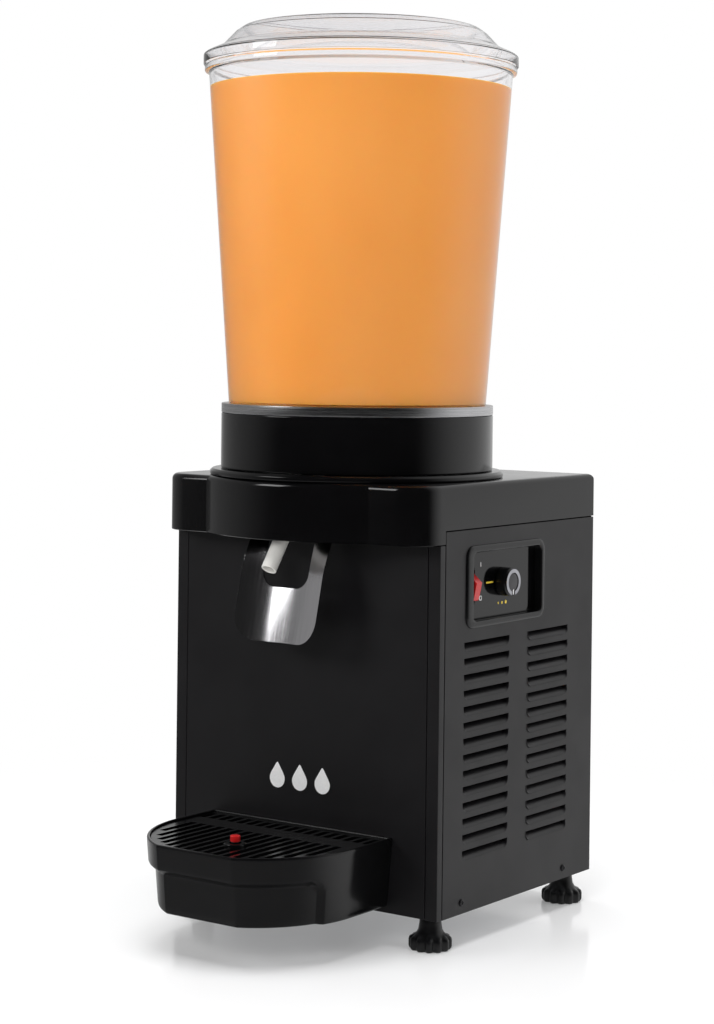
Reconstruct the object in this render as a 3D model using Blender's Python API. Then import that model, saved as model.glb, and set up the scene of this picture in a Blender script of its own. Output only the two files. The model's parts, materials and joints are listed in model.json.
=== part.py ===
"""Countertop drink dispenser: a chilled single-bowl machine with a push lever, drip tray and side controls.

Everything is placed relative to the bowl's vertical axis. The front of the machine faces -Y, the control
side faces +X, and the feet stand on z = 0.
"""

from math import asin, cos, pi, radians, sin

import bmesh
import bpy
from mathutils import Matrix, Vector

# ---- driving dimensions, metres ----
AXIS_Y = 0.0196          # the bowl's axis behind the centre of the whole footprint
GAP = 0.0003             # clearance between neighbouring pieces

HALF_WIDTH = 0.1397      # casing, from its middle plane to a side panel's outer face
FRONT_Y = -0.0750        # outer face of the front panel
REAR_Y = 0.1724          # outer face of the rear panel
CASING_LOW = 0.0275      # lower edge of the casing
SIDE_TOP = 0.3463        # upper edge of the side panels
SHEET = 0.0015           # sheet metal thickness
POST_FACE = 0.0117       # width of a corner post's front face
POST_SIDE_Y = -0.0674    # where the corner posts end along the sides

CROWN_FRONT_LOW = 0.3350  # lower edge of the crown's front skirt
CROWN_SIDE_LOW = 0.3466   # lower edge of the crown's side skirts
CROWN_TOP = 0.3842
CROWN_WALL = 0.0030
CROWN_CORNER_R = 0.0280
CROWN_FLAT_Y = -0.1020    # flat stretches of the crown's front beside the bulge
CROWN_CREASE_X = 0.0860   # crease between those flats and the bulge
CROWN_APEX_Y = -0.1285    # foremost point of the bulge
WELL_RADIUS = 0.1040      # round opening in the crown, under the drum

DRUM_RADIUS = 0.1189
DRUM_LOW = 0.3903
DRUM_TOP = 0.4380
BAND_TOP = 0.4465         # top of the steel band that the bowl stands on

BOWL_LOW_RADIUS = 0.1126
BOWL_TOP_RADIUS = 0.1330
BOWL_TOP = 0.7415
BOWL_WALL = 0.0035
LID_RADIUS = 0.1380
LID_LOW = 0.7420
MACHINE_TOP = 0.7750

TRAY_HALF_WIDTH = 0.0950
TRAY_STRAIGHT_Y = -0.1250  # where the tray's straight sides turn into its round front
TRAY_FRONT_Y = -0.2175      # flat middle of the tray's front
TRAY_CURVE = 0.1014        # reach of the half ellipse that the front's corners follow
TRAY_LOW = 0.0330
TRAY_TOP = 0.0910
TRAY_REAR_Y = FRONT_Y - GAP
SLOT_PITCH = 0.0102

FLOAT_X, FLOAT_Y = 0.0080, -0.1740

COIL_LOW_RADIUS = 0.0340   # evaporator coil under the dish
COIL_HIGH_RADIUS = 0.0710
COIL_START = radians(75)
COIL_TURNS = 2.5
COIL_END_Z = 0.4080

PANEL_Y = (-0.0365, 0.0870)   # control bezel along Y
PANEL_Z = (0.2630, 0.3320)
RECESS_Y = (-0.0265, 0.0805)
RECESS_Z = (0.2690, 0.3260)
FASCIA_X = 0.1343
SWITCH_Y, SWITCH_Z = -0.0198, 0.2970
KNOB_Y, KNOB_Z = 0.0280, 0.2980
KNOB_RADIUS = 0.0122

PIVOT_Y, PIVOT_Z = -0.0815, 0.3570   # axis of the dispensing lever
FOOT_INSET = 0.0181
FOOT_RADIUS = 0.0180
SCREW_Z = 0.0370
SCREW_RADIUS = 0.0019

ROUND = 40               # segments of the large round pieces


# ---- scene and materials ----
def clear_scene():
    for old in list(bpy.data.objects):
        bpy.data.objects.remove(old, do_unlink=True)


def material(name, colour, roughness, metallic=0.0, alpha=1.0):
    made = bpy.data.materials.new(name)
    made.use_nodes = True
    shader = made.node_tree.nodes["Principled BSDF"]
    shader.inputs["Base Color"].default_value = (*colour, 1.0)
    shader.inputs["Roughness"].default_value = roughness
    shader.inputs["Metallic"].default_value = metallic
    shader.inputs["Alpha"].default_value = alpha
    return made


def add(name, mesh, finish, location=(0.0, 0.0, 0.0)):
    """One sub-part from a bmesh whose points are relative to location, parented to the bowl's axis."""
    bmesh.ops.recalc_face_normals(mesh, faces=mesh.faces)
    data = bpy.data.meshes.new(name)
    mesh.to_mesh(data)
    mesh.free()
    data.materials.append(finish)
    data.shade_smooth()
    data.set_sharp_from_angle(angle=radians(35))
    piece = bpy.data.objects.new(name, data)
    bpy.context.scene.collection.objects.link(piece)
    piece.parent = bowl_axis
    piece.location = location
    return piece


def combine(piece, other, operation):
    """Boolean of two sub-parts; the other one becomes a hidden helper."""
    step = piece.modifiers.new(operation.lower(), "BOOLEAN")
    step.operation = operation
    step.object = other
    other.hide_render = True
    other.display_type = "WIRE"
    return piece


# ---- shape helpers: each returns a bmesh ----
def lofted(rings):
    """Closed skin through loops of points, capped by its first and last loop."""
    mesh = bmesh.new()
    loops = [[mesh.verts.new(p) for p in ring] for ring in rings]
    count = len(loops[0])
    for low, high in zip(loops, loops[1:]):
        for i in range(count):
            j = (i + 1) % count
            mesh.faces.new((low[i], low[j], high[j], high[i]))
    mesh.faces.new(loops[0])
    mesh.faces.new(loops[-1])
    return mesh


def prism(outline, low, high, axis="Z"):
    """Flat outline of (u, v) points pulled from low to high along one axis."""
    place = {
        "X": lambda u, v, w: (w, u, v),
        "Y": lambda u, v, w: (u, w, v),
        "Z": lambda u, v, w: (u, v, w),
    }[axis]
    return lofted([[place(u, v, w) for u, v in outline] for w in (low, high)])


def box(low, high):
    corners = [(low[0], low[1]), (high[0], low[1]), (high[0], high[1]), (low[0], high[1])]
    return prism(corners, low[2], high[2])


def boxes(corner_pairs):
    """Several separate boxes in one mesh, for a cutter."""
    mesh = bmesh.new()
    for low, high in corner_pairs:
        size = [b - a for a, b in zip(low, high)]
        middle = [(a + b) / 2 for a, b in zip(low, high)]
        made = bmesh.ops.create_cube(mesh, size=1.0)["verts"]
        bmesh.ops.scale(mesh, vec=size, verts=made)
        bmesh.ops.translate(mesh, vec=middle, verts=made)
    return mesh


def peg(mesh, radius, place):
    """Adds a short cylinder to a cutter's mesh."""
    bmesh.ops.create_cone(
        mesh, cap_ends=True, segments=12, radius1=radius, radius2=radius, depth=0.02, matrix=place
    )


def circle(radius, steps, centre=(0.0, 0.0)):
    turn = [2 * pi * i / steps for i in range(steps)]
    return [(centre[0] + radius * cos(t), centre[1] + radius * sin(t)) for t in turn]


def rounded_rectangle(y_range, z_range, radius, steps=4):
    """Outline of (y, z) points with quarter-circle corners, anticlockwise."""
    outline = []
    corners = (
        (y_range[1] - radius, z_range[1] - radius, 0),
        (y_range[0] + radius, z_range[1] - radius, 1),
        (y_range[0] + radius, z_range[0] + radius, 2),
        (y_range[1] - radius, z_range[0] + radius, 3),
    )
    for y, z, quarter in corners:
        for i in range(steps + 1):
            t = pi / 2 * (quarter + i / steps)
            outline.append((y + radius * cos(t), z + radius * sin(t)))
    return outline


def turned(profile, steps=ROUND, axis="Z"):
    """Closed (radius, height) outline turned round an axis; points at radius 0 close it at its ends."""
    mesh = bmesh.new()
    rings = []
    for radius, height in profile:
        count = steps if radius > 0 else 1
        ring = []
        for u, v in circle(radius, steps)[:count]:
            place = {"X": (height, u, v), "Y": (u, height, v), "Z": (u, v, height)}[axis]
            ring.append(mesh.verts.new(place))
        rings.append(ring)
    for a, b in zip(rings, rings[1:] + rings[:1]):
        if len(a) == 1 and len(b) == 1:
            continue
        for i in range(steps):
            j = (i + 1) % steps
            corners = [a[i % len(a)], a[j % len(a)], b[j % len(b)], b[i % len(b)]]
            mesh.faces.new(list(dict.fromkeys(corners)))
    return mesh


def tube(path, radius, bore=0.0, steps=8):
    """Round rod along a path of points, or a pipe where a bore radius is given."""
    points = [Vector(p) for p in path]
    ahead = [(b - a).normalized() for a, b in zip(points, points[1:])]
    tangents = [ahead[0]] + [(a + b).normalized() for a, b in zip(ahead, ahead[1:])] + [ahead[-1]]
    side = tangents[0].orthogonal().normalized()
    outer, inner = [], []
    for point, tangent in zip(points, tangents):
        side = (side - tangent * side.dot(tangent)).normalized()
        up = tangent.cross(side)
        around = [side * u + up * v for u, v in circle(1.0, steps)]
        outer.append([point + radius * d for d in around])
        inner.append([point + bore * d for d in around])
    if bore == 0.0:
        return lofted(outer)
    rings = outer + inner[::-1]
    mesh = bmesh.new()
    loops = [[mesh.verts.new(p) for p in ring] for ring in rings]
    for a, b in zip(loops, loops[1:] + loops[:1]):
        for i in range(steps):
            j = (i + 1) % steps
            mesh.faces.new((a[i], a[j], b[j], b[i]))
    return mesh


def bent_path(corners, radius, steps=4):
    """Path through the corners, each rounded to the given bend radius."""
    points = [Vector(c) for c in corners]
    path = [points[0]]
    for before, corner, after in zip(points, points[1:], points[2:]):
        into = (corner - before).normalized()
        out = (after - corner).normalized()
        turn = into.angle(out)
        if turn < 0.02:
            path.append(corner)
            continue
        reach = radius * sin(turn / 2) / cos(turn / 2)
        start = corner - into * reach
        inward = (out - into * out.dot(into)).normalized()
        centre = start + inward * radius
        for i in range(steps + 1):
            t = turn * i / steps
            path.append(centre - inward * radius * cos(t) + into * radius * sin(t))
    path.append(points[-1])
    return path


# ---- outlines ----
def crown_outline(inset=0.0):
    """Plan of the crown: straight sides, round front corners, short flats and a bulged middle."""
    half = HALF_WIDTH - inset
    corner = CROWN_CORNER_R - inset
    flat_y = CROWN_FLAT_Y + inset
    centre_x = half - corner
    centre_y = flat_y + corner
    rise = CROWN_FLAT_Y - CROWN_APEX_Y
    bulge = (CROWN_CREASE_X**2 + rise**2) / (2 * rise)
    bulge_y = CROWN_APEX_Y + bulge
    spread = asin(CROWN_CREASE_X / bulge)
    right = [(half, REAR_Y - inset)]
    right += [
        (centre_x + corner * cos(t), centre_y - corner * sin(t))
        for t in (pi / 2 * i / 5 for i in range(6))
    ]
    arc = [spread * i / 7 for i in range(7, -1, -1)]
    right += [((bulge - inset) * sin(t), bulge_y - (bulge - inset) * cos(t)) for t in arc]
    left = [(-x, y) for x, y in right[-2::-1]]
    return right + left


def tray_outline(inset=0.0, rear_inset=0.0, grip=0.0, steps=9):
    """Plan of the drip tray: straight sides, elliptical corners and a flat front that meets them at an angle.

    The grip is a further inset of everything but the rearmost part of each corner.
    """
    right = [(TRAY_HALF_WIDTH - inset, TRAY_REAR_Y - rear_inset)]
    for i in range(steps + 1):
        share = min(1.0, max(0.0, 3.0 * i / steps - 0.5))
        pressed = inset + grip * share
        along = TRAY_CURVE - pressed
        t = asin((TRAY_STRAIGHT_Y - TRAY_FRONT_Y - pressed) / along) * i / steps
        right.append(((TRAY_HALF_WIDTH - pressed) * cos(t), TRAY_STRAIGHT_Y - along * sin(t)))
    return right + [(-x, y) for x, y in reversed(right)]


# ---- casing ----
def make_base_pan():
    def plan(inset):
        x = 0.1370 - inset
        return [(x, -0.0725 + inset), (x, 0.1690 - inset), (-x, 0.1690 - inset), (-x, -0.0725 + inset)]

    levels = ((0.0, 0.0280), (0.0, 0.0440), (SHEET, 0.0440), (SHEET, 0.0280 + SHEET))
    rings = [[(x, y, z) for x, y in plan(inset)] for inset, z in levels]
    pan = add("base_pan", lofted(rings), galvanised)
    holes = bmesh.new()
    for x, y in foot_places():
        place = Matrix.Translation((x, y, 0.0300))
        peg(holes, 0.0045, place)
    combine(pan, add("base_pan_foot_holes", holes, galvanised), "DIFFERENCE")
    combine(pan, screw_holes("base_pan_screw_holes"), "DIFFERENCE")
    combine(pan, tray_support_slot("base_pan_slot", 0.0020), "DIFFERENCE")
    return pan


def foot_places():
    x = HALF_WIDTH - FOOT_INSET
    return [(sx * x, y) for y in (FRONT_Y + FOOT_INSET, REAR_Y - FOOT_INSET) for sx in (-1, 1)]


def side_screw_places():
    return [-0.0385, 0.1250]


def rear_screw_places():
    return [-0.0900, 0.0900]


def screw_holes(name):
    """Clearance holes of every casing screw, as one cutter."""
    holes = bmesh.new()
    radius = SCREW_RADIUS + GAP
    for y in side_screw_places():
        for side in (-1, 1):
            place = Matrix.Translation((side * 0.1380, y, SCREW_Z)) @ Matrix.Rotation(pi / 2, 4, "Y")
            peg(holes, radius, place)
    for x in rear_screw_places():
        place = Matrix.Translation((x, 0.1700, SCREW_Z)) @ Matrix.Rotation(pi / 2, 4, "X")
        peg(holes, radius, place)
    return add(name, holes, galvanised)


def tray_support_slot(name, depth):
    low = (-0.0510, -0.0800, 0.0302)
    high = (0.0510, -0.0725 + depth, 0.0332)
    return add(name, box(low, high), galvanised)


def make_front_panel():
    low = (-0.1275, FRONT_Y, 0.0280)
    high = (0.1275, FRONT_Y + SHEET, 0.3720)
    panel = add("front_panel", box(low, high), black_sheet)
    return combine(panel, tray_support_slot("front_panel_slot", 0.0), "DIFFERENCE")


def make_front_post(name, side):
    inner = HALF_WIDTH - POST_FACE
    corner = [
        (inner, FRONT_Y),
        (HALF_WIDTH, FRONT_Y),
        (HALF_WIDTH, POST_SIDE_Y),
        (HALF_WIDTH - SHEET, POST_SIDE_Y),
        (HALF_WIDTH - SHEET, FRONT_Y + SHEET),
        (inner, FRONT_Y + SHEET),
    ]
    outline = [(side * x, y) for x, y in corner]
    return add(name, prism(outline, CASING_LOW, CROWN_FRONT_LOW - GAP), black_sheet)


def louvre_rows():
    return [0.0715 + 0.0133 * i for i in range(14)]


def make_side_panel(name, side):
    low = (min(side * (HALF_WIDTH - SHEET), side * HALF_WIDTH), POST_SIDE_Y + GAP, CASING_LOW)
    high = (max(side * (HALF_WIDTH - SHEET), side * HALF_WIDTH), REAR_Y, SIDE_TOP)
    panel = add(name, box(low, high), black_sheet)
    slots = []
    for z in louvre_rows():
        for y0, y1 in ((-0.0380, 0.0320), (0.0610, 0.1290)):
            slots.append(((side * 0.1397 - 0.01, y0, z + 0.0010), (side * 0.1397 + 0.01, y1, z + 0.0070)))
    combine(panel, add(name + "_louvres", boxes(slots), black_sheet), "DIFFERENCE")
    combine(panel, screw_holes(name + "_screw_holes"), "DIFFERENCE")
    if side > 0:
        window = prism(rounded_rectangle((-0.0285, 0.0825), (0.2670, 0.3280), 0.0070), 0.12, 0.15, "X")
        combine(panel, add(name + "_window", window, black_sheet), "DIFFERENCE")
    return panel


def make_rear_panel():
    half = HALF_WIDTH - SHEET - GAP
    low = (-half, REAR_Y - SHEET, 0.0280)
    high = (half, REAR_Y, SIDE_TOP)
    panel = add("rear_panel", box(low, high), black_sheet)
    slots = []
    for i in range(12):
        for x in (-0.0500, 0.0500):
            z = 0.1300 + 0.0133 * i
            slots.append(((x - 0.0350, 0.16, z), (x + 0.0350, 0.18, z + 0.0060)))
    combine(panel, add("rear_panel_louvres", boxes(slots), black_sheet), "DIFFERENCE")
    combine(panel, screw_holes("rear_panel_screw_holes"), "DIFFERENCE")
    hole = prism(circle(0.0073, 16, (-0.0900, 0.0620)), 0.16, 0.18, "Y")
    return combine(panel, add("rear_panel_gland_hole", hole, black_sheet), "DIFFERENCE")


def make_crown():
    fillet = 0.0050
    levels = [(CROWN_WALL, CROWN_TOP - CROWN_WALL), (CROWN_WALL, CROWN_FRONT_LOW), (0.0, CROWN_FRONT_LOW)]
    for i in range(4):
        t = pi / 2 * i / 3
        levels.append((fillet * (1 - cos(t)), CROWN_TOP - fillet * (1 - sin(t))))
    rings = [[(x, y, z) for x, y in crown_outline(inset)] for inset, z in levels]
    crown = add("crown", lofted(rings), gloss_black)
    relief = box((-0.2, POST_SIDE_Y, 0.3), (0.2, 0.3, CROWN_SIDE_LOW))
    combine(crown, add("crown_side_relief", relief, gloss_black), "DIFFERENCE")
    well = prism(circle(WELL_RADIUS, ROUND), 0.36, 0.40)
    return combine(crown, add("crown_well", well, gloss_black), "DIFFERENCE")


# ---- cooling column ----
def make_column():
    low = CROWN_TOP + GAP
    flange = [(0.1130, low), (0.1283, low), (0.1283, 0.3880), (0.1268, 0.3900), (0.1130, 0.3900)]
    add("collar_flange", turned(flange), black_rubber)
    drum = [
        (0.1060, DRUM_LOW),
        (DRUM_RADIUS, DRUM_LOW),
        (DRUM_RADIUS, DRUM_TOP),
        (DRUM_RADIUS - 0.0040, DRUM_TOP),
        (DRUM_RADIUS - 0.0040, DRUM_LOW + 0.0030),
        (0.1060, DRUM_LOW + 0.0030),
    ]
    add("collar_drum", turned(drum), satin_black)
    foam_low = DRUM_LOW + 0.0030 + GAP
    foam = [(0.0995, foam_low), (0.1145, foam_low), (0.1145, 0.4355), (0.0995, 0.4355)]
    add("insulation_ring", turned(foam, 36), foam_white)
    outer = DRUM_RADIUS
    dish_profile = [
        (outer, BAND_TOP),
        (0.0835, BAND_TOP),
        (0.0800, 0.4560),
        (0.0400, 0.4590),
        (0.0, 0.4595),
        (0.0, 0.4575),
        (0.0400, 0.4570),
        (0.0783, 0.4542),
        (0.0818, BAND_TOP - 0.0020),
        (outer - 0.0020, BAND_TOP - 0.0020),
        (outer - 0.0020, DRUM_TOP + GAP),
        (outer, DRUM_TOP + GAP),
    ]
    dish = add("evaporator_dish", turned(dish_profile), stainless)
    outlet = prism(circle(0.0053, 16, (0.0, -0.0910)), 0.43, 0.46)
    combine(dish, add("dish_outlet", outlet, stainless), "DIFFERENCE")


def make_evaporator_coil():
    """Flat spiral under the dish, with both ends turned down."""
    start = (COIL_LOW_RADIUS * cos(COIL_START), COIL_LOW_RADIUS * sin(COIL_START))
    path = [(*start, COIL_END_Z), (*start, 0.4400)]
    steps = 16
    count = int(COIL_TURNS * steps)
    for i in range(1, count + 1):
        t = COIL_START + 2 * pi * i / steps
        radius = COIL_LOW_RADIUS + (COIL_HIGH_RADIUS - COIL_LOW_RADIUS) * i / count
        rise = min(1.0, i / 3, (count - i) / 3 + 0.2)
        path.append((radius * cos(t), radius * sin(t), 0.4400 + 0.0075 * rise))
    end = path[-1]
    path.append((end[0], end[1], COIL_END_Z))
    return add("evaporator_coil", tube(path, 0.0036, steps=6), copper)


def make_bowl_and_lid():
    lip_radius = 0.1040
    low = BAND_TOP + GAP
    bowl = [
        (lip_radius, low),
        (BOWL_LOW_RADIUS, low),
        (BOWL_TOP_RADIUS, 0.7340),
        (0.1368, 0.7362),
        (0.1368, 0.7405),
        (0.1345, BOWL_TOP),
        (BOWL_TOP_RADIUS - BOWL_WALL, BOWL_TOP),
        (BOWL_LOW_RADIUS - BOWL_WALL, low + 0.0035),
        (lip_radius, low + 0.0035),
    ]
    add("bowl", turned(bowl), clear_plastic)
    seal = [(0.1000, low), (0.1036, low), (0.1036, 0.4520), (0.1000, 0.4520)]
    add("bowl_seal", turned(seal), white_silicone)
    lid = [
        (0.0, MACHINE_TOP),
        (0.1035, MACHINE_TOP),
        (0.1100, 0.7700),
        (0.1270, 0.7545),
        (0.1365, 0.7528),
        (LID_RADIUS, 0.7510),
        (LID_RADIUS, LID_LOW),
        (0.1280, LID_LOW),
        (0.1280, 0.7330),
        (0.1258, 0.7330),
        (0.1258, 0.7505),
        (0.1085, 0.7672),
        (0.1028, MACHINE_TOP - 0.0025),
        (0.0, MACHINE_TOP - 0.0025),
    ]
    add("lid", turned(lid), clear_plastic)


def make_agitator():
    """Paddle on its pin above the dish, and the magnetic drive below it."""
    pin = [
        (0.0, 0.4598),
        (0.0080, 0.4598),
        (0.0080, 0.4615),
        (0.0030, 0.4618),
        (0.0030, 0.4940),
        (0.0020, 0.4950),
        (0.0, 0.4950),
    ]
    add("spindle", turned(pin, 16), stainless)
    hub = [
        (0.0034, 0.4622),
        (0.0300, 0.4622),
        (0.0300, 0.4690),
        (0.0110, 0.4720),
        (0.0090, 0.4900),
        (0.0034, 0.4900),
    ]
    impeller = add("impeller", turned(hub, 24), white_plastic)
    for i in range(3):
        blade = box((0.0080, -0.0012, 0.4645), (0.0760, 0.0012, 0.4830))
        bmesh.ops.rotate(blade, matrix=Matrix.Rotation(2 * pi * i / 3, 3, "Z"), verts=blade.verts)
        combine(impeller, add(f"impeller_blade_{i}", blade, white_plastic), "UNION")
    rotor = [(0.0, 0.4440), (0.0220, 0.4440), (0.0220, 0.4540), (0.0, 0.4540)]
    add("drive_magnet", turned(rotor, 24), dark_iron)
    motor = [
        (0.0, 0.3815),
        (0.0280, 0.3815),
        (0.0280, 0.4180),
        (0.0100, 0.4200),
        (0.0100, 0.4240),
        (0.0030, 0.4245),
        (0.0030, 0.4437),
        (0.0, 0.4437),
    ]
    add("agitator_motor", turned(motor, 24), dark_iron)
    strap_top = CROWN_TOP - CROWN_WALL - GAP
    strap = box((-0.1180, -0.0120, strap_top - 0.0015), (0.1180, 0.0120, strap_top))
    add("motor_bracket", strap, galvanised)


# ---- dispensing ----
def make_outlet():
    pipe = tube([(0.0, -0.0910, 0.3800), (0.0, -0.0910, BAND_TOP - 0.0002)], 0.0050, 0.0040, 16)
    add("outlet_pipe", pipe, stainless)
    corners = [(0.0, -0.0910, 0.3920), (0.0, -0.0910, 0.3560), (0.0, -0.1235, 0.3100)]
    spout = tube(bent_path(corners, 0.0300, 4), 0.0066, 0.0053, 14)
    add("dispensing_tube", spout, white_silicone)


def make_lever():
    """Dished tongue with a cut-out for the tube, hung from two barrels on the pivot pin."""
    half, bottom = 0.0430, 0.2480
    plan_radius = 0.1100
    thickness = 0.0015
    columns = 10

    def middle_y(z):
        """Fore-and-aft place of the tongue's middle: upright at the top and leaning forward below."""
        drop = max(0.0, 0.3520 - z)
        return PIVOT_Y - 0.0032 - 0.240 * drop

    def dish(x, z):
        """How far the sheet stands forward of its middle: flat at the barrels, fully dished below."""
        share = min(1.0, max(0.0, (0.3500 - z) / 0.0450))
        return share * (plan_radius - (plan_radius**2 - x * x) ** 0.5)

    def edge(x):
        """Lower edge of the tongue, with rounded corners."""
        corner = 0.0220
        inside = max(0.0, abs(x) - (half - 0.0015 - corner))
        return bottom + corner - (corner**2 - min(inside, corner) ** 2) ** 0.5

    mesh = bmesh.new()
    rows = 6
    xs = [half * sin(pi / 2 * (2 * i / columns - 1)) for i in range(columns + 1)]
    sheets = []
    for offset in (0.0, -thickness):
        grid = []
        for x in xs:
            column = []
            for j in range(rows + 1):
                z = edge(x) + (PIVOT_Z + 0.0009 - edge(x)) * j / rows
                column.append(mesh.verts.new((x, middle_y(z) - dish(x, z) + offset, z)))
            grid.append(column)
        sheets.append(grid)
    back, front = sheets
    for i in range(columns):
        for j in range(rows):
            for grid in sheets:
                mesh.faces.new((grid[i][j], grid[i + 1][j], grid[i + 1][j + 1], grid[i][j + 1]))
        for j in (0, rows):
            mesh.faces.new((back[i][j], back[i + 1][j], front[i + 1][j], front[i][j]))
    for i in (0, columns):
        for j in range(rows):
            mesh.faces.new((back[i][j], back[i][j + 1], front[i][j + 1], front[i][j]))
    bmesh.ops.triangulate(mesh, faces=mesh.faces)
    lever = add("lever", mesh, polished_steel)
    window = prism(rounded_rectangle((-0.0240, 0.0240), (0.2930, 0.4200), 0.0130), -0.13, -0.05, "Y")
    combine(lever, add("lever_window", window, polished_steel), "DIFFERENCE")
    for name, side in (("left", -1), ("right", 1)):
        ends = sorted((side * 0.0245, side * 0.0425))
        barrel = prism(circle(0.0042, 16, (PIVOT_Y, PIVOT_Z)), ends[0], ends[1], "X")
        combine(lever, add(f"lever_barrel_{name}", barrel, polished_steel), "UNION")
        ends = sorted((side * 0.0252, side * 0.0281))
        arm = [
            (PIVOT_Y + 0.0030, PIVOT_Z + 0.0010),
            (PIVOT_Y - 0.0030, PIVOT_Z - 0.0040),
            (-0.1025, 0.3675),
            (-0.1025, 0.3730),
            (-0.0985, 0.3730),
        ]
        combine(lever, add(f"lever_arm_{name}", prism(arm, ends[0], ends[1], "X"), polished_steel), "UNION")
    bar = prism(circle(0.0019, 8, (-0.1000, 0.3705)), -0.0267, 0.0267, "X")
    combine(lever, add("lever_pinch_bar", bar, polished_steel), "UNION")
    bore = prism(circle(0.0028, 16, (PIVOT_Y, PIVOT_Z)), -0.05, 0.05, "X")
    combine(lever, add("lever_bore", bore, polished_steel), "DIFFERENCE")


def make_lever_mount():
    pin = [(0.0, -0.0520), (0.0025, -0.0520), (0.0025, 0.0520), (0.0, 0.0520)]
    add("lever_pin", turned(pin, 16, "X"), stainless, (0.0, PIVOT_Y, PIVOT_Z))
    bracket = add("lever_bracket", box((-0.0490, -0.0768, 0.3460), (0.0490, -0.0753, 0.3700)), galvanised)
    for name, side in (("left", -1), ("right", 1)):
        ends = sorted((side * 0.0470, side * 0.0490))
        ear = box((ends[0], -0.0905, 0.3500), (ends[1], -0.0760, 0.3640))
        combine(bracket, add(f"bracket_ear_{name}", ear, galvanised), "UNION")
    bore = prism(circle(0.0028, 16, (PIVOT_Y, PIVOT_Z)), -0.06, 0.06, "X")
    combine(bracket, add("bracket_bore", bore, galvanised), "DIFFERENCE")
    turns, steps = 4, 9
    path = []
    for i in range(turns * steps + 1):
        t = 2 * pi * i / steps
        x = -0.0215 + 0.0100 * i / (turns * steps)
        path.append((x, PIVOT_Y + 0.0040 * cos(t), PIVOT_Z + 0.0040 * sin(t)))
    add("return_spring", tube(path, 0.0007, steps=5), spring_steel)


# ---- drip tray ----
def make_drip_tray():
    levels = (
        (0.0060, 0.0, 0.0052, TRAY_LOW),
        (0.0045, 0.0, 0.0052, TRAY_LOW + 0.0025),
        (0.0020, 0.0, 0.0046, 0.0672),
        (0.0018, 0.0, 0.0, 0.0705),
        (0.0, 0.0, 0.0, 0.0880),
        (0.0, 0.0, 0.0, TRAY_TOP),
        (0.0030, 0.0030, 0.0, TRAY_TOP),
        (0.0030, 0.0030, 0.0, 0.0850),
        (0.0095, 0.0050, 0.0, 0.0845),
        (0.0095, 0.0050, 0.0, 0.0672),
        (0.0125, 0.0050, 0.0, TRAY_LOW + 0.0030),
    )
    rings = [[(x, y, z) for x, y in tray_outline(inset, rear, grip)] for inset, rear, grip, z in levels]
    add("drip_tray", lofted(rings), satin_black)
    support = box((-0.0500, -0.1500, 0.0306), (0.0500, -0.0400, 0.0328))
    add("tray_support", support, galvanised)


def make_grille():
    outline = tray_outline(0.0034, 0.0034)
    grille = add("tray_grille", prism(outline, 0.0853, 0.0893), satin_black)
    slots = []
    half_slot = 0.0033
    inner = TRAY_HALF_WIDTH - 0.0085
    for i in range(-9, 9):
        x = SLOT_PITCH * (i + 0.5)
        slots.append(((x - half_slot, -0.1025, 0.08), (x + half_slot, -0.0835, 0.10)))
        if abs(x) < inner - half_slot:
            curve = TRAY_STRAIGHT_Y - (TRAY_CURVE - 0.0085) * (1 - (x / inner) ** 2) ** 0.5
            front = max(curve, TRAY_FRONT_Y + 0.0065) + 0.0020
            slots.append(((x - half_slot, front, 0.08), (x + half_slot, -0.1240, 0.10)))
    combine(grille, add("grille_slots", boxes(slots), satin_black), "DIFFERENCE")
    boss = prism(circle(0.0095, 20, (FLOAT_X, FLOAT_Y)), 0.0853, 0.0918)
    combine(grille, add("grille_boss", boss, satin_black), "UNION")
    hole = prism(circle(0.0052, 20, (FLOAT_X, FLOAT_Y)), 0.08, 0.10)
    combine(grille, add("grille_float_hole", hole, satin_black), "DIFFERENCE")
    shape = [
        (0.0, 0.0364),
        (0.0110, 0.0364),
        (0.0110, 0.0500),
        (0.0042, 0.0540),
        (0.0042, 0.0965),
        (0.0032, 0.0980),
        (0.0, 0.0980),
    ]
    add("float_indicator", turned(shape, 20), red_plastic, (FLOAT_X, FLOAT_Y, 0.0))


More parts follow.
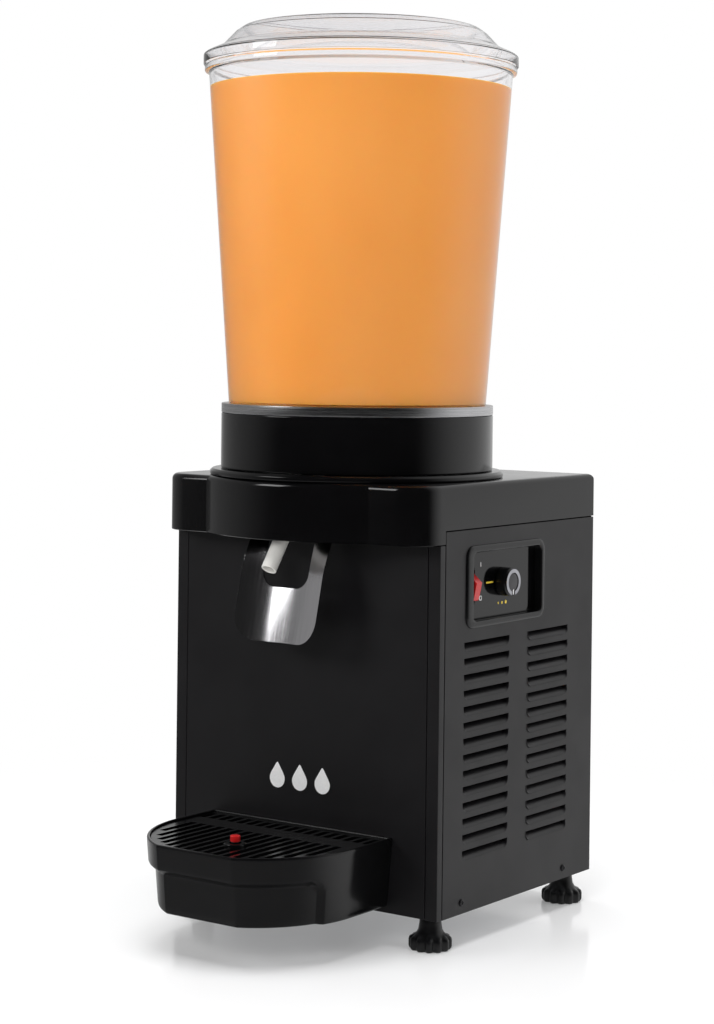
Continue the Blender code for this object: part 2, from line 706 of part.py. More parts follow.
# ---- controls ----
def make_control_panel():
    def level(y_range, z_range, inset, radius, x):
        ys = (y_range[0] + inset, y_range[1] - inset)
        zs = (z_range[0] + inset, z_range[1] - inset)
        return [(x, y, z) for y, z in rounded_rectangle(ys, zs, radius - inset)]

    wall = 0.0015
    rings = [
        level(RECESS_Y, RECESS_Z, -wall, 0.0045, 0.1300),
        level(RECESS_Y, RECESS_Z, -wall, 0.0045, 0.1400),
        level(PANEL_Y, PANEL_Z, 0.0, 0.0100, 0.1400),
        level(PANEL_Y, PANEL_Z, 0.0, 0.0100, 0.1403),
        level(PANEL_Y, PANEL_Z, 0.0012, 0.0100, 0.1413),
        level(PANEL_Y, PANEL_Z, 0.0030, 0.0100, 0.1417),
        level(RECESS_Y, RECESS_Z, -0.0020, 0.0045, 0.1417),
        level(RECESS_Y, RECESS_Z, 0.0, 0.0045, 0.1405),
        level(RECESS_Y, RECESS_Z, 0.0, 0.0045, 0.1320),
    ]
    bezel = add("control_bezel", lofted(rings), satin_black)
    plate_y = (RECESS_Y[0] + GAP, RECESS_Y[1] - GAP)
    plate_z = (RECESS_Z[0] + GAP, RECESS_Z[1] - GAP)
    plate = prism(rounded_rectangle(plate_y, plate_z, 0.0042), 0.1323, FASCIA_X, "X")
    fascia = add("control_fascia", plate, gloss_black)
    for name, piece in (("bezel", bezel), ("fascia", fascia)):
        low = (0.12, SWITCH_Y - 0.0054, SWITCH_Z - 0.0151)
        high = (0.14, SWITCH_Y + 0.0054, SWITCH_Z + 0.0151)
        switch_window = box(low, high)
        combine(piece, add(name + "_switch_window", switch_window, gloss_black), "DIFFERENCE")
        shaft_hole = prism(circle(0.0050, 16, (KNOB_Y, KNOB_Z)), 0.12, 0.14, "X")
        combine(piece, add(name + "_shaft_hole", shaft_hole, gloss_black), "DIFFERENCE")


def make_switch():
    low = (0.1080, SWITCH_Y - 0.0051, SWITCH_Z - 0.0148)
    high = (0.1346, SWITCH_Y + 0.0051, SWITCH_Z + 0.0148)
    body = add("switch_body", box(low, high), satin_black)
    low = (0.1235, SWITCH_Y - 0.0045, SWITCH_Z - 0.0140)
    high = (0.1400, SWITCH_Y + 0.0045, SWITCH_Z + 0.0140)
    combine(body, add("switch_pocket", box(low, high), satin_black), "DIFFERENCE")
    upper = [(0.0108, 0.0016), (0.0042, 0.0128), (0.0030, 0.0132), (-0.0010, 0.0128), (-0.0040, 0.0040)]
    section = [(0.0118, 0.0)] + upper + [(x, -z) for x, z in reversed(upper)]
    half = 0.0042
    rings = [[(x, y, z) for x, z in section] for y in (-half, half)]
    rocker = add("switch_rocker", lofted(rings), red_plastic, (0.1312, SWITCH_Y, SWITCH_Z))
    rocker.rotation_euler = (0.0, -radians(18), 0.0)


def make_thermostat_and_knob():
    body = [
        (0.0, 0.1040),
        (0.0170, 0.1040),
        (0.0170, 0.1285),
        (0.0046, 0.1290),
        (0.0046, 0.1335),
        (0.0028, 0.1338),
        (0.0028, 0.1430),
        (0.0, 0.1430),
    ]
    place = (0.0, KNOB_Y, KNOB_Z)
    add("thermostat", turned(body, 20, "X"), dark_iron, place)
    knob = [
        (0.0, 0.1450),
        (KNOB_RADIUS - 0.0018, 0.1450),
        (KNOB_RADIUS - 0.0004, 0.1440),
        (KNOB_RADIUS, FASCIA_X + 0.0030),
        (KNOB_RADIUS, FASCIA_X + 0.0005),
        (0.0031, FASCIA_X + 0.0005),
        (0.0031, 0.1433),
        (0.0, 0.1433),
    ]
    add("knob", turned(knob, 32, "X"), satin_black, place)
    opening, steps = radians(24), 28
    low, high, inner, outer = 0.1453, 0.1460, 0.0080, 0.0112
    rings = []
    for i in range(steps + 1):
        t = -pi / 2 + opening / 2 + (2 * pi - opening) * i / steps
        corners = ((inner, low), (outer, low), (outer, high), (inner, high))
        rings.append([(x, r * cos(t), r * sin(t)) for r, x in corners])
    add("knob_ring", lofted(rings), silver_trim, place)


# ---- cooling machinery inside the casing ----
def make_machinery():
    centre = (-0.0640, 0.0300, 0.0)
    shell = [
        (0.0, 0.0298),
        (0.0560, 0.0298),
        (0.0560, 0.0325),
        (0.0500, 0.0400),
        (0.0520, 0.0600),
        (0.0520, 0.1150),
        (0.0440, 0.1420),
        (0.0250, 0.1530),
        (0.0, 0.1550),
    ]
    add("compressor", turned(shell, 20), satin_black, centre)

    fins, fin, pitch = 18, 0.0012, 0.0090
    low_y, high_y, root_x, tip_x = -0.0300, -0.0300 + 18 * 0.0090, 0.1080, 0.1300
    outline = [(0.1040, low_y), (0.1040, high_y - pitch + fin)]
    for i in reversed(range(fins)):
        y = low_y + pitch * i
        outline += [(tip_x, y + fin), (tip_x, y)]
        if i:
            outline += [(root_x, y), (root_x, y - pitch + fin)]
    add("condenser", prism(outline, 0.0600, 0.2450), dark_iron)

    shroud = add("fan_shroud", box((0.0990, -0.0300, 0.0600), (0.1010, 0.1240, 0.2450)), satin_black)
    fan_place = (0.0, 0.0470, 0.1520)
    ring_hole = prism(circle(0.0660, 32, fan_place[1:]), 0.09, 0.11, "X")
    combine(shroud, add("fan_shroud_hole", ring_hole, satin_black), "DIFFERENCE")
    hub_shape = [(0.0, 0.0820), (0.0150, 0.0820), (0.0150, 0.0930), (0.0, 0.0930)]
    hub = add("fan_blade", turned(hub_shape, 20, "X"), white_plastic, fan_place)
    for i in range(5):
        t = 2 * pi * i / 5
        blade = box((-0.0008, -0.0170, 0.0120), (0.0008, 0.0170, 0.0600))
        bmesh.ops.rotate(blade, matrix=Matrix.Rotation(radians(62), 3, "Z"), verts=blade.verts)
        bmesh.ops.translate(blade, vec=(0.0875, 0.0, 0.0), verts=blade.verts)
        bmesh.ops.rotate(blade, matrix=Matrix.Rotation(t, 3, "X"), verts=blade.verts)
        combine(hub, add(f"fan_vane_{i}", blade, white_plastic, fan_place), "UNION")
    motor = [
        (0.0, 0.0320),
        (0.0230, 0.0320),
        (0.0260, 0.0360),
        (0.0260, 0.0640),
        (0.0230, 0.0680),
        (0.0050, 0.0690),
        (0.0050, 0.0817),
        (0.0, 0.0817),
    ]
    add("fan_motor", turned(motor, 20, "X"), dark_iron, fan_place)
    leg = box((0.0400, 0.0380, 0.0298), (0.0600, 0.0560, 0.1200))
    add("fan_motor_stand", leg, galvanised)

    drier = [
        (0.0, 0.1750),
        (0.0030, 0.1750),
        (0.0090, 0.1820),
        (0.0090, 0.2480),
        (0.0030, 0.2560),
        (0.0, 0.2560),
    ]
    add("filter_drier", turned(drier, 16), copper, (-0.0200, 0.1300, 0.0))
    discharge = [
        (-0.0440, 0.0460, 0.1535),
        (-0.0440, 0.0460, 0.2750),
        (0.0850, 0.1100, 0.2750),
        (0.1065, 0.1100, 0.2600),
        (0.1065, 0.1100, 0.2455),
    ]
    add("discharge_line", tube(bent_path(discharge, 0.0060, 3), 0.0030, steps=6), copper)
    coil_start = (COIL_LOW_RADIUS * cos(COIL_START), COIL_LOW_RADIUS * sin(COIL_START))
    coil_end_angle = COIL_START + 2 * pi * COIL_TURNS
    coil_end = (COIL_HIGH_RADIUS * cos(coil_end_angle), COIL_HIGH_RADIUS * sin(coil_end_angle))
    suction = [
        (*coil_end, COIL_END_Z - GAP),
        (*coil_end, 0.3600),
        (-0.0900, 0.0300, 0.3200),
        (-0.0900, 0.0300, 0.1537),
    ]
    add("suction_line", tube(bent_path(suction, 0.0100, 3), 0.0036, steps=6), copper)
    capillary = [
        (-0.0200, 0.1300, 0.2565),
        (-0.0200, 0.1300, 0.3200),
        (*coil_start, 0.3500),
        (*coil_start, COIL_END_Z - GAP),
    ]
    add("capillary_line", tube(bent_path(capillary, 0.0080, 3), 0.0018, steps=6), copper)

    block = box((-0.1150, 0.1200, 0.1800), (-0.0850, 0.1560, 0.2100))
    add("terminal_block", block, white_plastic)


def make_cable_gland():
    """Cord bush in the rear panel, empty: a flange outside, a collar inside and a through bore."""
    profile = [
        (0.0040, 0.1640),
        (0.0070, 0.1640),
        (0.0070, REAR_Y + GAP),
        (0.0110, REAR_Y + GAP),
        (0.0110, 0.1750),
        (0.0065, 0.1784),
        (0.0040, 0.1784),
    ]
    add("cable_gland", turned(profile, 20, "Y"), black_rubber, (-0.0900, 0.0, 0.0620))


# ---- feet and screws ----
def make_feet():
    names = ("foot_front_left", "foot_front_right", "foot_rear_left", "foot_rear_right")
    lobes, steps = 12, 24

    def ring(radius, z, depth):
        """Loop whose radius dips by depth between the lobes."""
        turn = [2 * pi * i / steps for i in range(steps)]
        reach = [radius - depth * (1 - cos(lobes * t)) / 2 for t in turn]
        return [(r * cos(t), r * sin(t), z) for r, t in zip(reach, turn)]

    for name, (x, y) in zip(names, foot_places()):
        rings = [
            ring(FOOT_RADIUS, 0.0, 0.0018),
            ring(FOOT_RADIUS, 0.0110, 0.0018),
            ring(0.0105, 0.0150, 0.0),
            ring(0.0085, 0.0277, 0.0),
            ring(0.0040, 0.0277, 0.0),
            ring(0.0040, 0.0420, 0.0),
        ]
        add(name, lofted(rings), black_rubber, (x, y, 0.0))


def make_screws():
    """Pan-head casing screws; each is turned round X or Y where it stands."""
    shape = [
        (0.0, -0.0030),
        (SCREW_RADIUS, -0.0030),
        (SCREW_RADIUS, GAP),
        (0.0032, GAP),
        (0.0028, 0.0012),
        (0.0, 0.0016),
    ]
    for label, side in (("left", -1), ("right", 1)):
        for end, y in zip(("front", "rear"), side_screw_places()):
            profile = [(r, side * h) for r, h in shape]
            place = (side * HALF_WIDTH, y, SCREW_Z)
            add(f"screw_{label}_{end}", turned(profile, 12, "X"), dark_iron, place)
    for label, x in zip(("left", "right"), rear_screw_places()):
        add(f"screw_back_{label}", turned(shape, 12, "Y"), dark_iron, (x, REAR_Y, SCREW_Z))


clear_scene()
bowl_axis = bpy.data.objects.new("bowl_axis", None)
bpy.context.scene.collection.objects.link(bowl_axis)
bowl_axis.location = (0.0, AXIS_Y, 0.0)

black_sheet = material("black_sheet", (0.035, 0.033, 0.036), 0.45)
satin_black = material("satin_black", (0.020, 0.020, 0.021), 0.40)
gloss_black = material("gloss_black", (0.010, 0.010, 0.011), 0.12)
black_rubber = material("black_rubber", (0.015, 0.015, 0.015), 0.60)
clear_plastic = material("clear_plastic", (0.95, 0.96, 0.97), 0.05, alpha=0.3)
white_silicone = material("white_silicone", (0.80, 0.79, 0.75), 0.40)
white_plastic = material("white_plastic", (0.80, 0.80, 0.80), 0.40)
foam_white = material("foam_white", (0.75, 0.74, 0.68), 0.80)
red_plastic = material("red_plastic", (0.75, 0.02, 0.02), 0.30)
stainless = material("stainless", (0.62, 0.62, 0.63), 0.30, 1.0)
polished_steel = material("polished_steel", (0.72, 0.72, 0.73), 0.15, 1.0)
spring_steel = material("spring_steel", (0.50, 0.50, 0.52), 0.30, 1.0)
galvanised = material("galvanised", (0.55, 0.56, 0.58), 0.50, 1.0)
dark_iron = material("dark_iron", (0.10, 0.10, 0.11), 0.50, 0.6)
copper = material("copper", (0.72, 0.36, 0.20), 0.30, 1.0)
silver_trim = material("silver_trim", (0.85, 0.85, 0.86), 0.20, 1.0)

make_base_pan()
make_front_panel()
make_front_post("front_post_left", -1)
make_front_post("front_post_right", 1)
make_side_panel("side_panel_left", -1)
make_side_panel("side_panel_right", 1)
make_rear_panel()
make_crown()
make_column()
make_evaporator_coil()
make_bowl_and_lid()
make_agitator()
make_outlet()
make_lever()
make_lever_mount()
make_drip_tray()
make_grille()
make_control_panel()
make_switch()
make_thermostat_and_knob()
make_machinery()
make_cable_gland()
make_feet()
make_screws()
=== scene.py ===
"""Looks of the countertop drink dispenser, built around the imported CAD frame.

Every visible piece is modelled relative to the bowl's vertical axis, in metres, and rides on a CAD body.
The front of the machine faces -Y and the control side faces +X.
"""

import json
from math import asin, cos, hypot, pi, radians, sin, tan

import bmesh
import bpy
from mathutils import Matrix, Vector


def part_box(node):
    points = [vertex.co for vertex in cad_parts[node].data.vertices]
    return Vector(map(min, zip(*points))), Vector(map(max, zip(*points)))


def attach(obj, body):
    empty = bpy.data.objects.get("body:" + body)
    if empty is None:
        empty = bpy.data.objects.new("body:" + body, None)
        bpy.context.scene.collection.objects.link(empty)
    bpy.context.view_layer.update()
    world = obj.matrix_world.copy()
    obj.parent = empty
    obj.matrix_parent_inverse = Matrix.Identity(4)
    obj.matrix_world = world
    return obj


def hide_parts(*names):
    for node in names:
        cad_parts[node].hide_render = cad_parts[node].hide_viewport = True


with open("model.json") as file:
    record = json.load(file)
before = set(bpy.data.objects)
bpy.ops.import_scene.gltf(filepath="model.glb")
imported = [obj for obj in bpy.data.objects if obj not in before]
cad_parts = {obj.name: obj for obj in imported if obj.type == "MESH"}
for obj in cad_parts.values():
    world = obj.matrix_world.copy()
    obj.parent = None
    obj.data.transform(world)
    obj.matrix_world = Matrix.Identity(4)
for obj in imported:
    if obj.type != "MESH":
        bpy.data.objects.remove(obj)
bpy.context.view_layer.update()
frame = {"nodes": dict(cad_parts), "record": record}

# ---- places taken from the frame, relative to the bowl's axis ----
bowl_low, bowl_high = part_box("bowl")
AXIS_Y = (bowl_low.y + bowl_high.y) / 2


def span(node):
    """Lowest and highest corner of a CAD node, relative to the bowl's axis."""
    low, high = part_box(node)
    shift = Vector((0.0, AXIS_Y, 0.0))
    return low - shift, high - shift


GAP = 0.0003
side_low, side_high = span("side_panel_right")
HALF_WIDTH = side_high.x
CASING_LOW = side_low.z
SIDE_TOP = side_high.z
SIDE_FRONT_Y = side_low.y
REAR_Y = span("rear_panel")[1].y
FRONT_Y = span("front_panel")[0].y
SHEET = span("front_panel")[1].y - FRONT_Y
POST_INNER = span("front_post_right")[0].x

crown_low, crown_high = span("crown")
CROWN_TOP = crown_high.z
CROWN_LOW = crown_low.z
CROWN_APEX_Y = crown_low.y
CROWN_FLAT_Y = -0.1020
CROWN_CREASE_X = 0.0860
CROWN_CORNER_R = 0.0280
CROWN_FILLET = 0.0050
WELL_RADIUS = 0.1040

drum_low, drum_high = span("collar_drum")
DRUM_LOW = drum_low.z
DRUM_TOP = drum_high.z
DRUM_RADIUS = drum_high.x

BOWL_LOW = bowl_low.z
BAND_TOP = BOWL_LOW - GAP
BOWL_LOW_RADIUS = 0.1126
BOWL_TOP_RADIUS = 0.1330
BOWL_RIM_RADIUS = span("bowl")[1].x
BOWL_TOP = bowl_high.z
BOWL_BEND_Z = 0.7340      # where the straight wall meets the rim
BOWL_WALL = 0.0035
DRINK_TOP = 0.7220
LID_LOW = BOWL_TOP + 0.0005
LID_RADIUS = span("lid")[1].x
MACHINE_TOP = span("lid")[1].z

tray_low, tray_high = span("drip_tray")
TRAY_HALF_WIDTH = tray_high.x
TRAY_STRAIGHT_Y = -0.1250
TRAY_FRONT_Y = tray_low.y
TRAY_CURVE = 0.1014
TRAY_REAR_Y = tray_high.y
TRAY_LOW = tray_low.z
TRAY_TOP = tray_high.z
GRILLE_LOW = span("tray_grille")[0].z
GRILLE_TOP = GRILLE_LOW + 0.0040
BOSS_TOP = span("tray_grille")[1].z
SLOT_PITCH = 0.0102
FLOAT_TOP = span("float_indicator")[1].z

bezel_low, bezel_high = span("control_bezel")
PANEL_Y = (bezel_low.y, bezel_high.y)
PANEL_Z = (bezel_low.z, bezel_high.z)
PANEL_FACE_X = bezel_high.x
fascia_low, fascia_high = span("control_fascia")
RECESS_Y = (fascia_low.y - GAP, fascia_high.y + GAP)
RECESS_Z = (fascia_low.z - GAP, fascia_high.z + GAP)
FASCIA_X = fascia_high.x
KNOB_CENTRE = (0.0280, 0.2980)

LOUVRE_HEIGHT = 0.0078
LOUVRE_PITCH = 0.0133
LOUVRE_DEPTH = 0.0062
SCREW_Z = 0.0370
SCREW_HOLE_RADIUS = 0.0024

FINE = 160  # segments of the large round pieces


# ---- materials ----
def new_material(name):
    made = bpy.data.materials.new(name)
    made.use_nodes = True
    return made, made.node_tree, made.node_tree.nodes["Principled BSDF"]


def noise(tree, scale, stretch=(1.0, 1.0, 1.0), detail=3.0):
    """Noise in the piece's own metres; a stretch above 1 packs it closer along that axis."""
    place = tree.nodes.new("ShaderNodeTexCoord")
    mapping = tree.nodes.new("ShaderNodeMapping")
    mapping.inputs["Scale"].default_value = stretch
    texture = tree.nodes.new("ShaderNodeTexNoise")
    texture.inputs["Scale"].default_value = scale
    texture.inputs["Detail"].default_value = detail
    tree.links.new(place.outputs["Object"], mapping.inputs["Vector"])
    tree.links.new(mapping.outputs["Vector"], texture.inputs["Vector"])
    return texture.outputs["Fac"]


def mapped(tree, source, taken, given, kind="LINEAR"):
    """A value remapped from one range to another and held at its ends."""
    node = tree.nodes.new("ShaderNodeMapRange")
    node.interpolation_type = kind
    node.inputs["From Min"].default_value, node.inputs["From Max"].default_value = taken
    node.inputs["To Min"].default_value, node.inputs["To Max"].default_value = given
    tree.links.new(source, node.inputs["Value"])
    return node.outputs["Result"]


def ranged(tree, source, low, high):
    """The noise's useful middle, remapped to low..high."""
    return mapped(tree, source, (0.3, 0.7), (low, high))


def calculated(tree, operation, *sources):
    node = tree.nodes.new("ShaderNodeMath")
    node.operation = operation
    for socket, source in zip(node.inputs, sources):
        tree.links.new(source, socket)
    return node.outputs["Value"]


def blended(tree, share, first, second):
    """The first surface where the share is 0, and the second where it is 1."""
    mix = tree.nodes.new("ShaderNodeMixShader")
    tree.links.new(share, mix.inputs["Fac"])
    tree.links.new(first, mix.inputs[1])
    tree.links.new(second, mix.inputs[2])
    return mix.outputs["Shader"]


def tinted(tree, source, first, second):
    ramp = tree.nodes.new("ShaderNodeValToRGB")
    ramp.color_ramp.elements[0].position = 0.3
    ramp.color_ramp.elements[0].color = (*first, 1.0)
    ramp.color_ramp.elements[1].position = 0.7
    ramp.color_ramp.elements[1].color = (*second, 1.0)
    tree.links.new(source, ramp.inputs["Fac"])
    return ramp.outputs["Color"]


def bumped(tree, height, distance, strength, under=None):
    node = tree.nodes.new("ShaderNodeBump")
    node.inputs["Distance"].default_value = distance
    node.inputs["Strength"].default_value = strength
    tree.links.new(height, node.inputs["Height"])
    if under is not None:
        tree.links.new(under, node.inputs["Normal"])
    return node.outputs["Normal"]


def moulded(name, dark, light, roughness, grain=900.0, depth=0.00003, coat=0.0):
    """Plastic, rubber or paint: mottled colour, uneven sheen and a fine surface grain."""
    made, tree, shader = new_material(name)
    tree.links.new(tinted(tree, noise(tree, 38.0), dark, light), shader.inputs["Base Color"])
    sheen = ranged(tree, noise(tree, 21.0, detail=5.0), roughness[0], roughness[1])
    tree.links.new(sheen, shader.inputs["Roughness"])
    normal = bumped(tree, noise(tree, grain), depth, 0.5)
    tree.links.new(normal, shader.inputs["Normal"])
    shader.inputs["Coat Weight"].default_value = coat
    shader.inputs["Coat Roughness"].default_value = 0.04
    return made


def brushed(name, dark, light, roughness, stretch, depth=0.00002):
    """Metal with fine parallel scratches; the stretch is large across them."""
    made, tree, shader = new_material(name)
    scratch = noise(tree, 60.0, stretch, 6.0)
    tree.links.new(tinted(tree, scratch, dark, light), shader.inputs["Base Color"])
    tree.links.new(ranged(tree, scratch, roughness[0], roughness[1]), shader.inputs["Roughness"])
    tree.links.new(bumped(tree, scratch, depth, 0.4), shader.inputs["Normal"])
    shader.inputs["Metallic"].default_value = 1.0
    return made


def cast(name, dark, light, roughness, metallic, grain, depth):
    """Metal with a grainy or mottled face."""
    made = moulded(name, dark, light, roughness, grain, depth)
    made.node_tree.nodes["Principled BSDF"].inputs["Metallic"].default_value = metallic
    return made


def clear_plastic(name):
    """Clear polycarbonate with faint handling haze; lamps reach what is behind it."""
    made, tree, shader = new_material(name)
    shader.inputs["Base Color"].default_value = (0.945, 0.940, 0.950, 1.0)
    shader.inputs["Transmission Weight"].default_value = 1.0
    shader.inputs["IOR"].default_value = 1.49
    haze = ranged(tree, noise(tree, 30.0, (1.0, 1.0, 0.25), 5.0), 0.0, 0.020)
    tree.links.new(haze, shader.inputs["Roughness"])
    tree.links.new(bumped(tree, noise(tree, 14.0), 0.0001, 0.2), shader.inputs["Normal"])
    through = tree.nodes.new("ShaderNodeBsdfTransparent")
    through.inputs["Color"].default_value = (0.93, 0.94, 0.95, 1.0)
    path = tree.nodes.new("ShaderNodeLightPath")
    surface = blended(tree, path.outputs["Is Shadow Ray"], shader.outputs["BSDF"], through.outputs["BSDF"])
    tree.links.new(surface, tree.nodes["Material Output"].inputs["Surface"])
    return made


def orange_drink(name):
    """Cloudy fruit drink: soft cloud in the colour, and light that spreads a little below its skin."""
    made, tree, shader = new_material(name)
    cloud = noise(tree, 9.0, (1.0, 1.0, 0.55), 2.0)
    colour = tinted(tree, cloud, (0.88, 0.370, 0.056), (0.91, 0.415, 0.082))
    tree.links.new(colour, shader.inputs["Base Color"])
    shader.inputs["Roughness"].default_value = 0.35
    shader.inputs["Subsurface Weight"].default_value = 0.35
    shader.inputs["Subsurface Radius"].default_value = (1.0, 0.45, 0.15)
    shader.inputs["Subsurface Scale"].default_value = 0.012
    return made


def printed(name, colour):
    """Screen-printed ink with a slightly uneven edge of gloss."""
    made, tree, shader = new_material(name)
    lighter = [min(1.0, c * 1.06) for c in colour]
    tree.links.new(tinted(tree, noise(tree, 700.0), colour, lighter), shader.inputs["Base Color"])
    tree.links.new(ranged(tree, noise(tree, 300.0), 0.35, 0.50), shader.inputs["Roughness"])
    return made


finish = {}
for label, make, *values in (
    ("casing", moulded, (0.0052, 0.0047, 0.0056), (0.0064, 0.0059, 0.0069), (0.36, 0.46), 1500.0, 0.00005),
    (
        "crown_gloss", moulded, (0.0022, 0.0021, 0.0024), (0.0030, 0.0029, 0.0032), (0.09, 0.15),
        160.0, 0.00001,
    ),
    ("black_plastic", moulded, (0.0028, 0.0028, 0.0031), (0.0038, 0.0038, 0.0042), (0.15, 0.24), 1100.0),
    ("fascia", moulded, (0.0018, 0.0018, 0.0021), (0.0024, 0.0024, 0.0027), (0.06, 0.10), 120.0, 0.000008),
    ("rubber", moulded, (0.0040, 0.0040, 0.0044), (0.0065, 0.0065, 0.0070), (0.26, 0.38), 1300.0, 0.00006),
    ("clear", clear_plastic),
    ("silicone", moulded, (0.72, 0.71, 0.67), (0.80, 0.79, 0.76), (0.30, 0.42), 500.0, 0.00004),
    ("white_plastic", moulded, (0.72, 0.72, 0.71), (0.79, 0.79, 0.78), (0.32, 0.44), 800.0),
    ("foam", moulded, (0.68, 0.66, 0.58), (0.78, 0.76, 0.68), (0.80, 0.95), 420.0, 0.00035),
    ("red_plastic", moulded, (0.50, 0.010, 0.012), (0.62, 0.018, 0.018), (0.18, 0.28), 600.0, 0.00003, 0.4),
    ("stainless", brushed, (0.42, 0.42, 0.43), (0.68, 0.68, 0.69), (0.20, 0.36), (0.25, 0.25, 40.0)),
    ("polished", brushed, (0.66, 0.65, 0.67), (0.76, 0.75, 0.77), (0.10, 0.17), (30.0, 0.3, 0.3), 0.000004),
    ("galvanised", cast, (0.40, 0.41, 0.43), (0.58, 0.59, 0.61), (0.35, 0.60), 1.0, 260.0, 0.00006),
    ("iron", cast, (0.012, 0.012, 0.013), (0.022, 0.022, 0.024), (0.36, 0.55), 0.4, 650.0, 0.00012),
    ("copper", cast, (0.50, 0.20, 0.10), (0.72, 0.36, 0.20), (0.22, 0.42), 1.0, 240.0, 0.00004),
    ("silver", brushed, (0.40, 0.40, 0.43), (0.52, 0.52, 0.56), (0.18, 0.26), (1.0, 1.0, 1.0)),
):
    finish[label] = make(label, *values)
drink_look = orange_drink("orange_drink")
white_ink = printed("white_ink", (0.88, 0.88, 0.88))
yellow_ink = printed("yellow_ink", (0.80, 0.58, 0.05))
grey_insert = moulded("grey_insert", (0.035, 0.034, 0.038), (0.045, 0.044, 0.048), (0.28, 0.38))


# ---- shape helpers: each returns a bmesh ----
def lofted(rings, caps=True):
    """Skin through closed loops of points, from the first to the last."""
    mesh = bmesh.new()
    loops = [[mesh.verts.new(p) for p in ring] for ring in rings]
    count = len(loops[0])
    for low, high in zip(loops, loops[1:]):
        for i in range(count):
            j = (i + 1) % count
            mesh.faces.new((low[i], low[j], high[j], high[i]))
    if caps:
        mesh.faces.new(loops[0])
        mesh.faces.new(loops[-1])
    return mesh


def along_x(u, v, w):
    return (w, u, v)


def along_y(u, v, w):
    return (u, w, v)


def along_z(u, v, w):
    return (u, v, w)


def prism(outline, low, high, place=along_z):
    return lofted([[place(u, v, w) for u, v in outline] for w in (low, high)])


def rectangle(u_low, u_high, v_low, v_high):
    return [(u_low, v_low), (u_high, v_low), (u_high, v_high), (u_low, v_high)]


def circle(radius, steps, centre=(0.0, 0.0)):
    turn = [2 * pi * i / steps for i in range(steps)]
    return [(centre[0] + radius * cos(t), centre[1] + radius * sin(t)) for t in turn]


def rounded_rectangle(u_range, v_range, radius, steps=8):
    """Outline with quarter-circle corners, anticlockwise."""
    outline = []
    corners = (
        (u_range[1] - radius, v_range[1] - radius, 0),
        (u_range[0] + radius, v_range[1] - radius, 1),
        (u_range[0] + radius, v_range[0] + radius, 2),
        (u_range[1] - radius, v_range[0] + radius, 3),
    )
    for u, v, quarter in corners:
        for i in range(steps + 1):
            t = pi / 2 * (quarter + i / steps)
            outline.append((u + radius * cos(t), v + radius * sin(t)))
    return outline


def eased(points, radius, steps=4):
    """Closed profile with each corner off the axis rounded; the radius shrinks where edges are short."""
    soft = []
    count = len(points)
    for i, corner in enumerate(points):
        here = Vector(corner)
        back = Vector(points[i - 1]) - here
        ahead = Vector(points[(i + 1) % count]) - here
        if corner[0] == 0.0 or back.length == 0.0 or ahead.length == 0.0:
            soft.append(corner)
            continue
        half = back.angle(ahead) / 2
        if half > radians(86):
            soft.append(corner)
            continue
        reach = min(radius / tan(half), 0.45 * back.length, 0.45 * ahead.length)
        start = here + back.normalized() * reach
        end = here + ahead.normalized() * reach
        for k in range(steps + 1):
            t = k / steps
            point = start * (1 - t) ** 2 + here * 2 * t * (1 - t) + end * t**2
            soft.append((point.x, point.y))
    return soft


def turned(profile, steps=FINE, axis="Z"):
    """Closed (radius, height) outline turned round an axis; points at radius 0 close it at its ends."""
    mesh = bmesh.new()
    rings = []
    for radius, height in profile:
        count = steps if radius > 0 else 1
        ring = []
        for u, v in circle(radius, steps)[:count]:
            place = {"X": (height, u, v), "Y": (u, height, v), "Z": (u, v, height)}[axis]
            ring.append(mesh.verts.new(place))
        rings.append(ring)
    for a, b in zip(rings, rings[1:] + rings[:1]):
        if len(a) == 1 and len(b) == 1:
            continue
        for i in range(steps):
            j = (i + 1) % steps
            corners = [a[i % len(a)], a[j % len(a)], b[j % len(b)], b[i % len(b)]]
            mesh.faces.new(list(dict.fromkeys(corners)))
    return mesh


def mesh_data(name, mesh):
    data = bpy.data.meshes.new(name)
    mesh.to_mesh(data)
    mesh.free()
    return data


def joined(meshes):
    """Several bmeshes as one, each kept a separate closed body."""
    whole = bmesh.new()
    for part in meshes:
        data = mesh_data("part", part)
        whole.from_mesh(data)
        bpy.data.meshes.remove(data)
    return whole


def linked(name, data):
    made = bpy.data.objects.new(name, data)
    bpy.context.scene.collection.objects.link(made)
    return made


def new_object(name, mesh, location=(0.0, 0.0, 0.0)):
    bmesh.ops.recalc_face_normals(mesh, faces=mesh.faces)
    made = linked(name, mesh_data(name, mesh))
    made.location = Vector(location) + Vector((0.0, AXIS_Y, 0.0))
    return made


def apply_modifiers(piece):
    graph = bpy.context.evaluated_depsgraph_get()
    data = bpy.data.meshes.new_from_object(piece.evaluated_get(graph))
    piece.modifiers.clear()
    piece.data = data


def combine(piece, mesh, operation, location=(0.0, 0.0, 0.0)):
    """Cuts a mesh from a piece, or adds it, for good."""
    other = new_object("tool", mesh, location)
    step = piece.modifiers.new(operation, "BOOLEAN")
    step.operation = operation
    step.object = other
    apply_modifiers(piece)
    bpy.data.objects.remove(other)


def dress(piece, look, body, nodes=(), bevel=0.0, sharp=35.0):
    """Gives a finished shape its material, softened edges, body and the CAD nodes it stands for."""
    piece.data.materials.clear()
    piece.data.materials.append(look)
    if bevel:
        edge = piece.modifiers.new("edges", "BEVEL")
        edge.width = bevel
        edge.segments = 2
        edge.limit_method = "ANGLE"
        edge.angle_limit = radians(40)
        apply_modifiers(piece)
    piece.data.shade_smooth()
    piece.data.set_sharp_from_angle(angle=radians(sharp))
    if bevel:
        flat = piece.modifiers.new("flat_faces", "WEIGHTED_NORMAL")
        flat.keep_sharp = True
    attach(piece, body)
    if nodes:
        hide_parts(*nodes)
    return piece


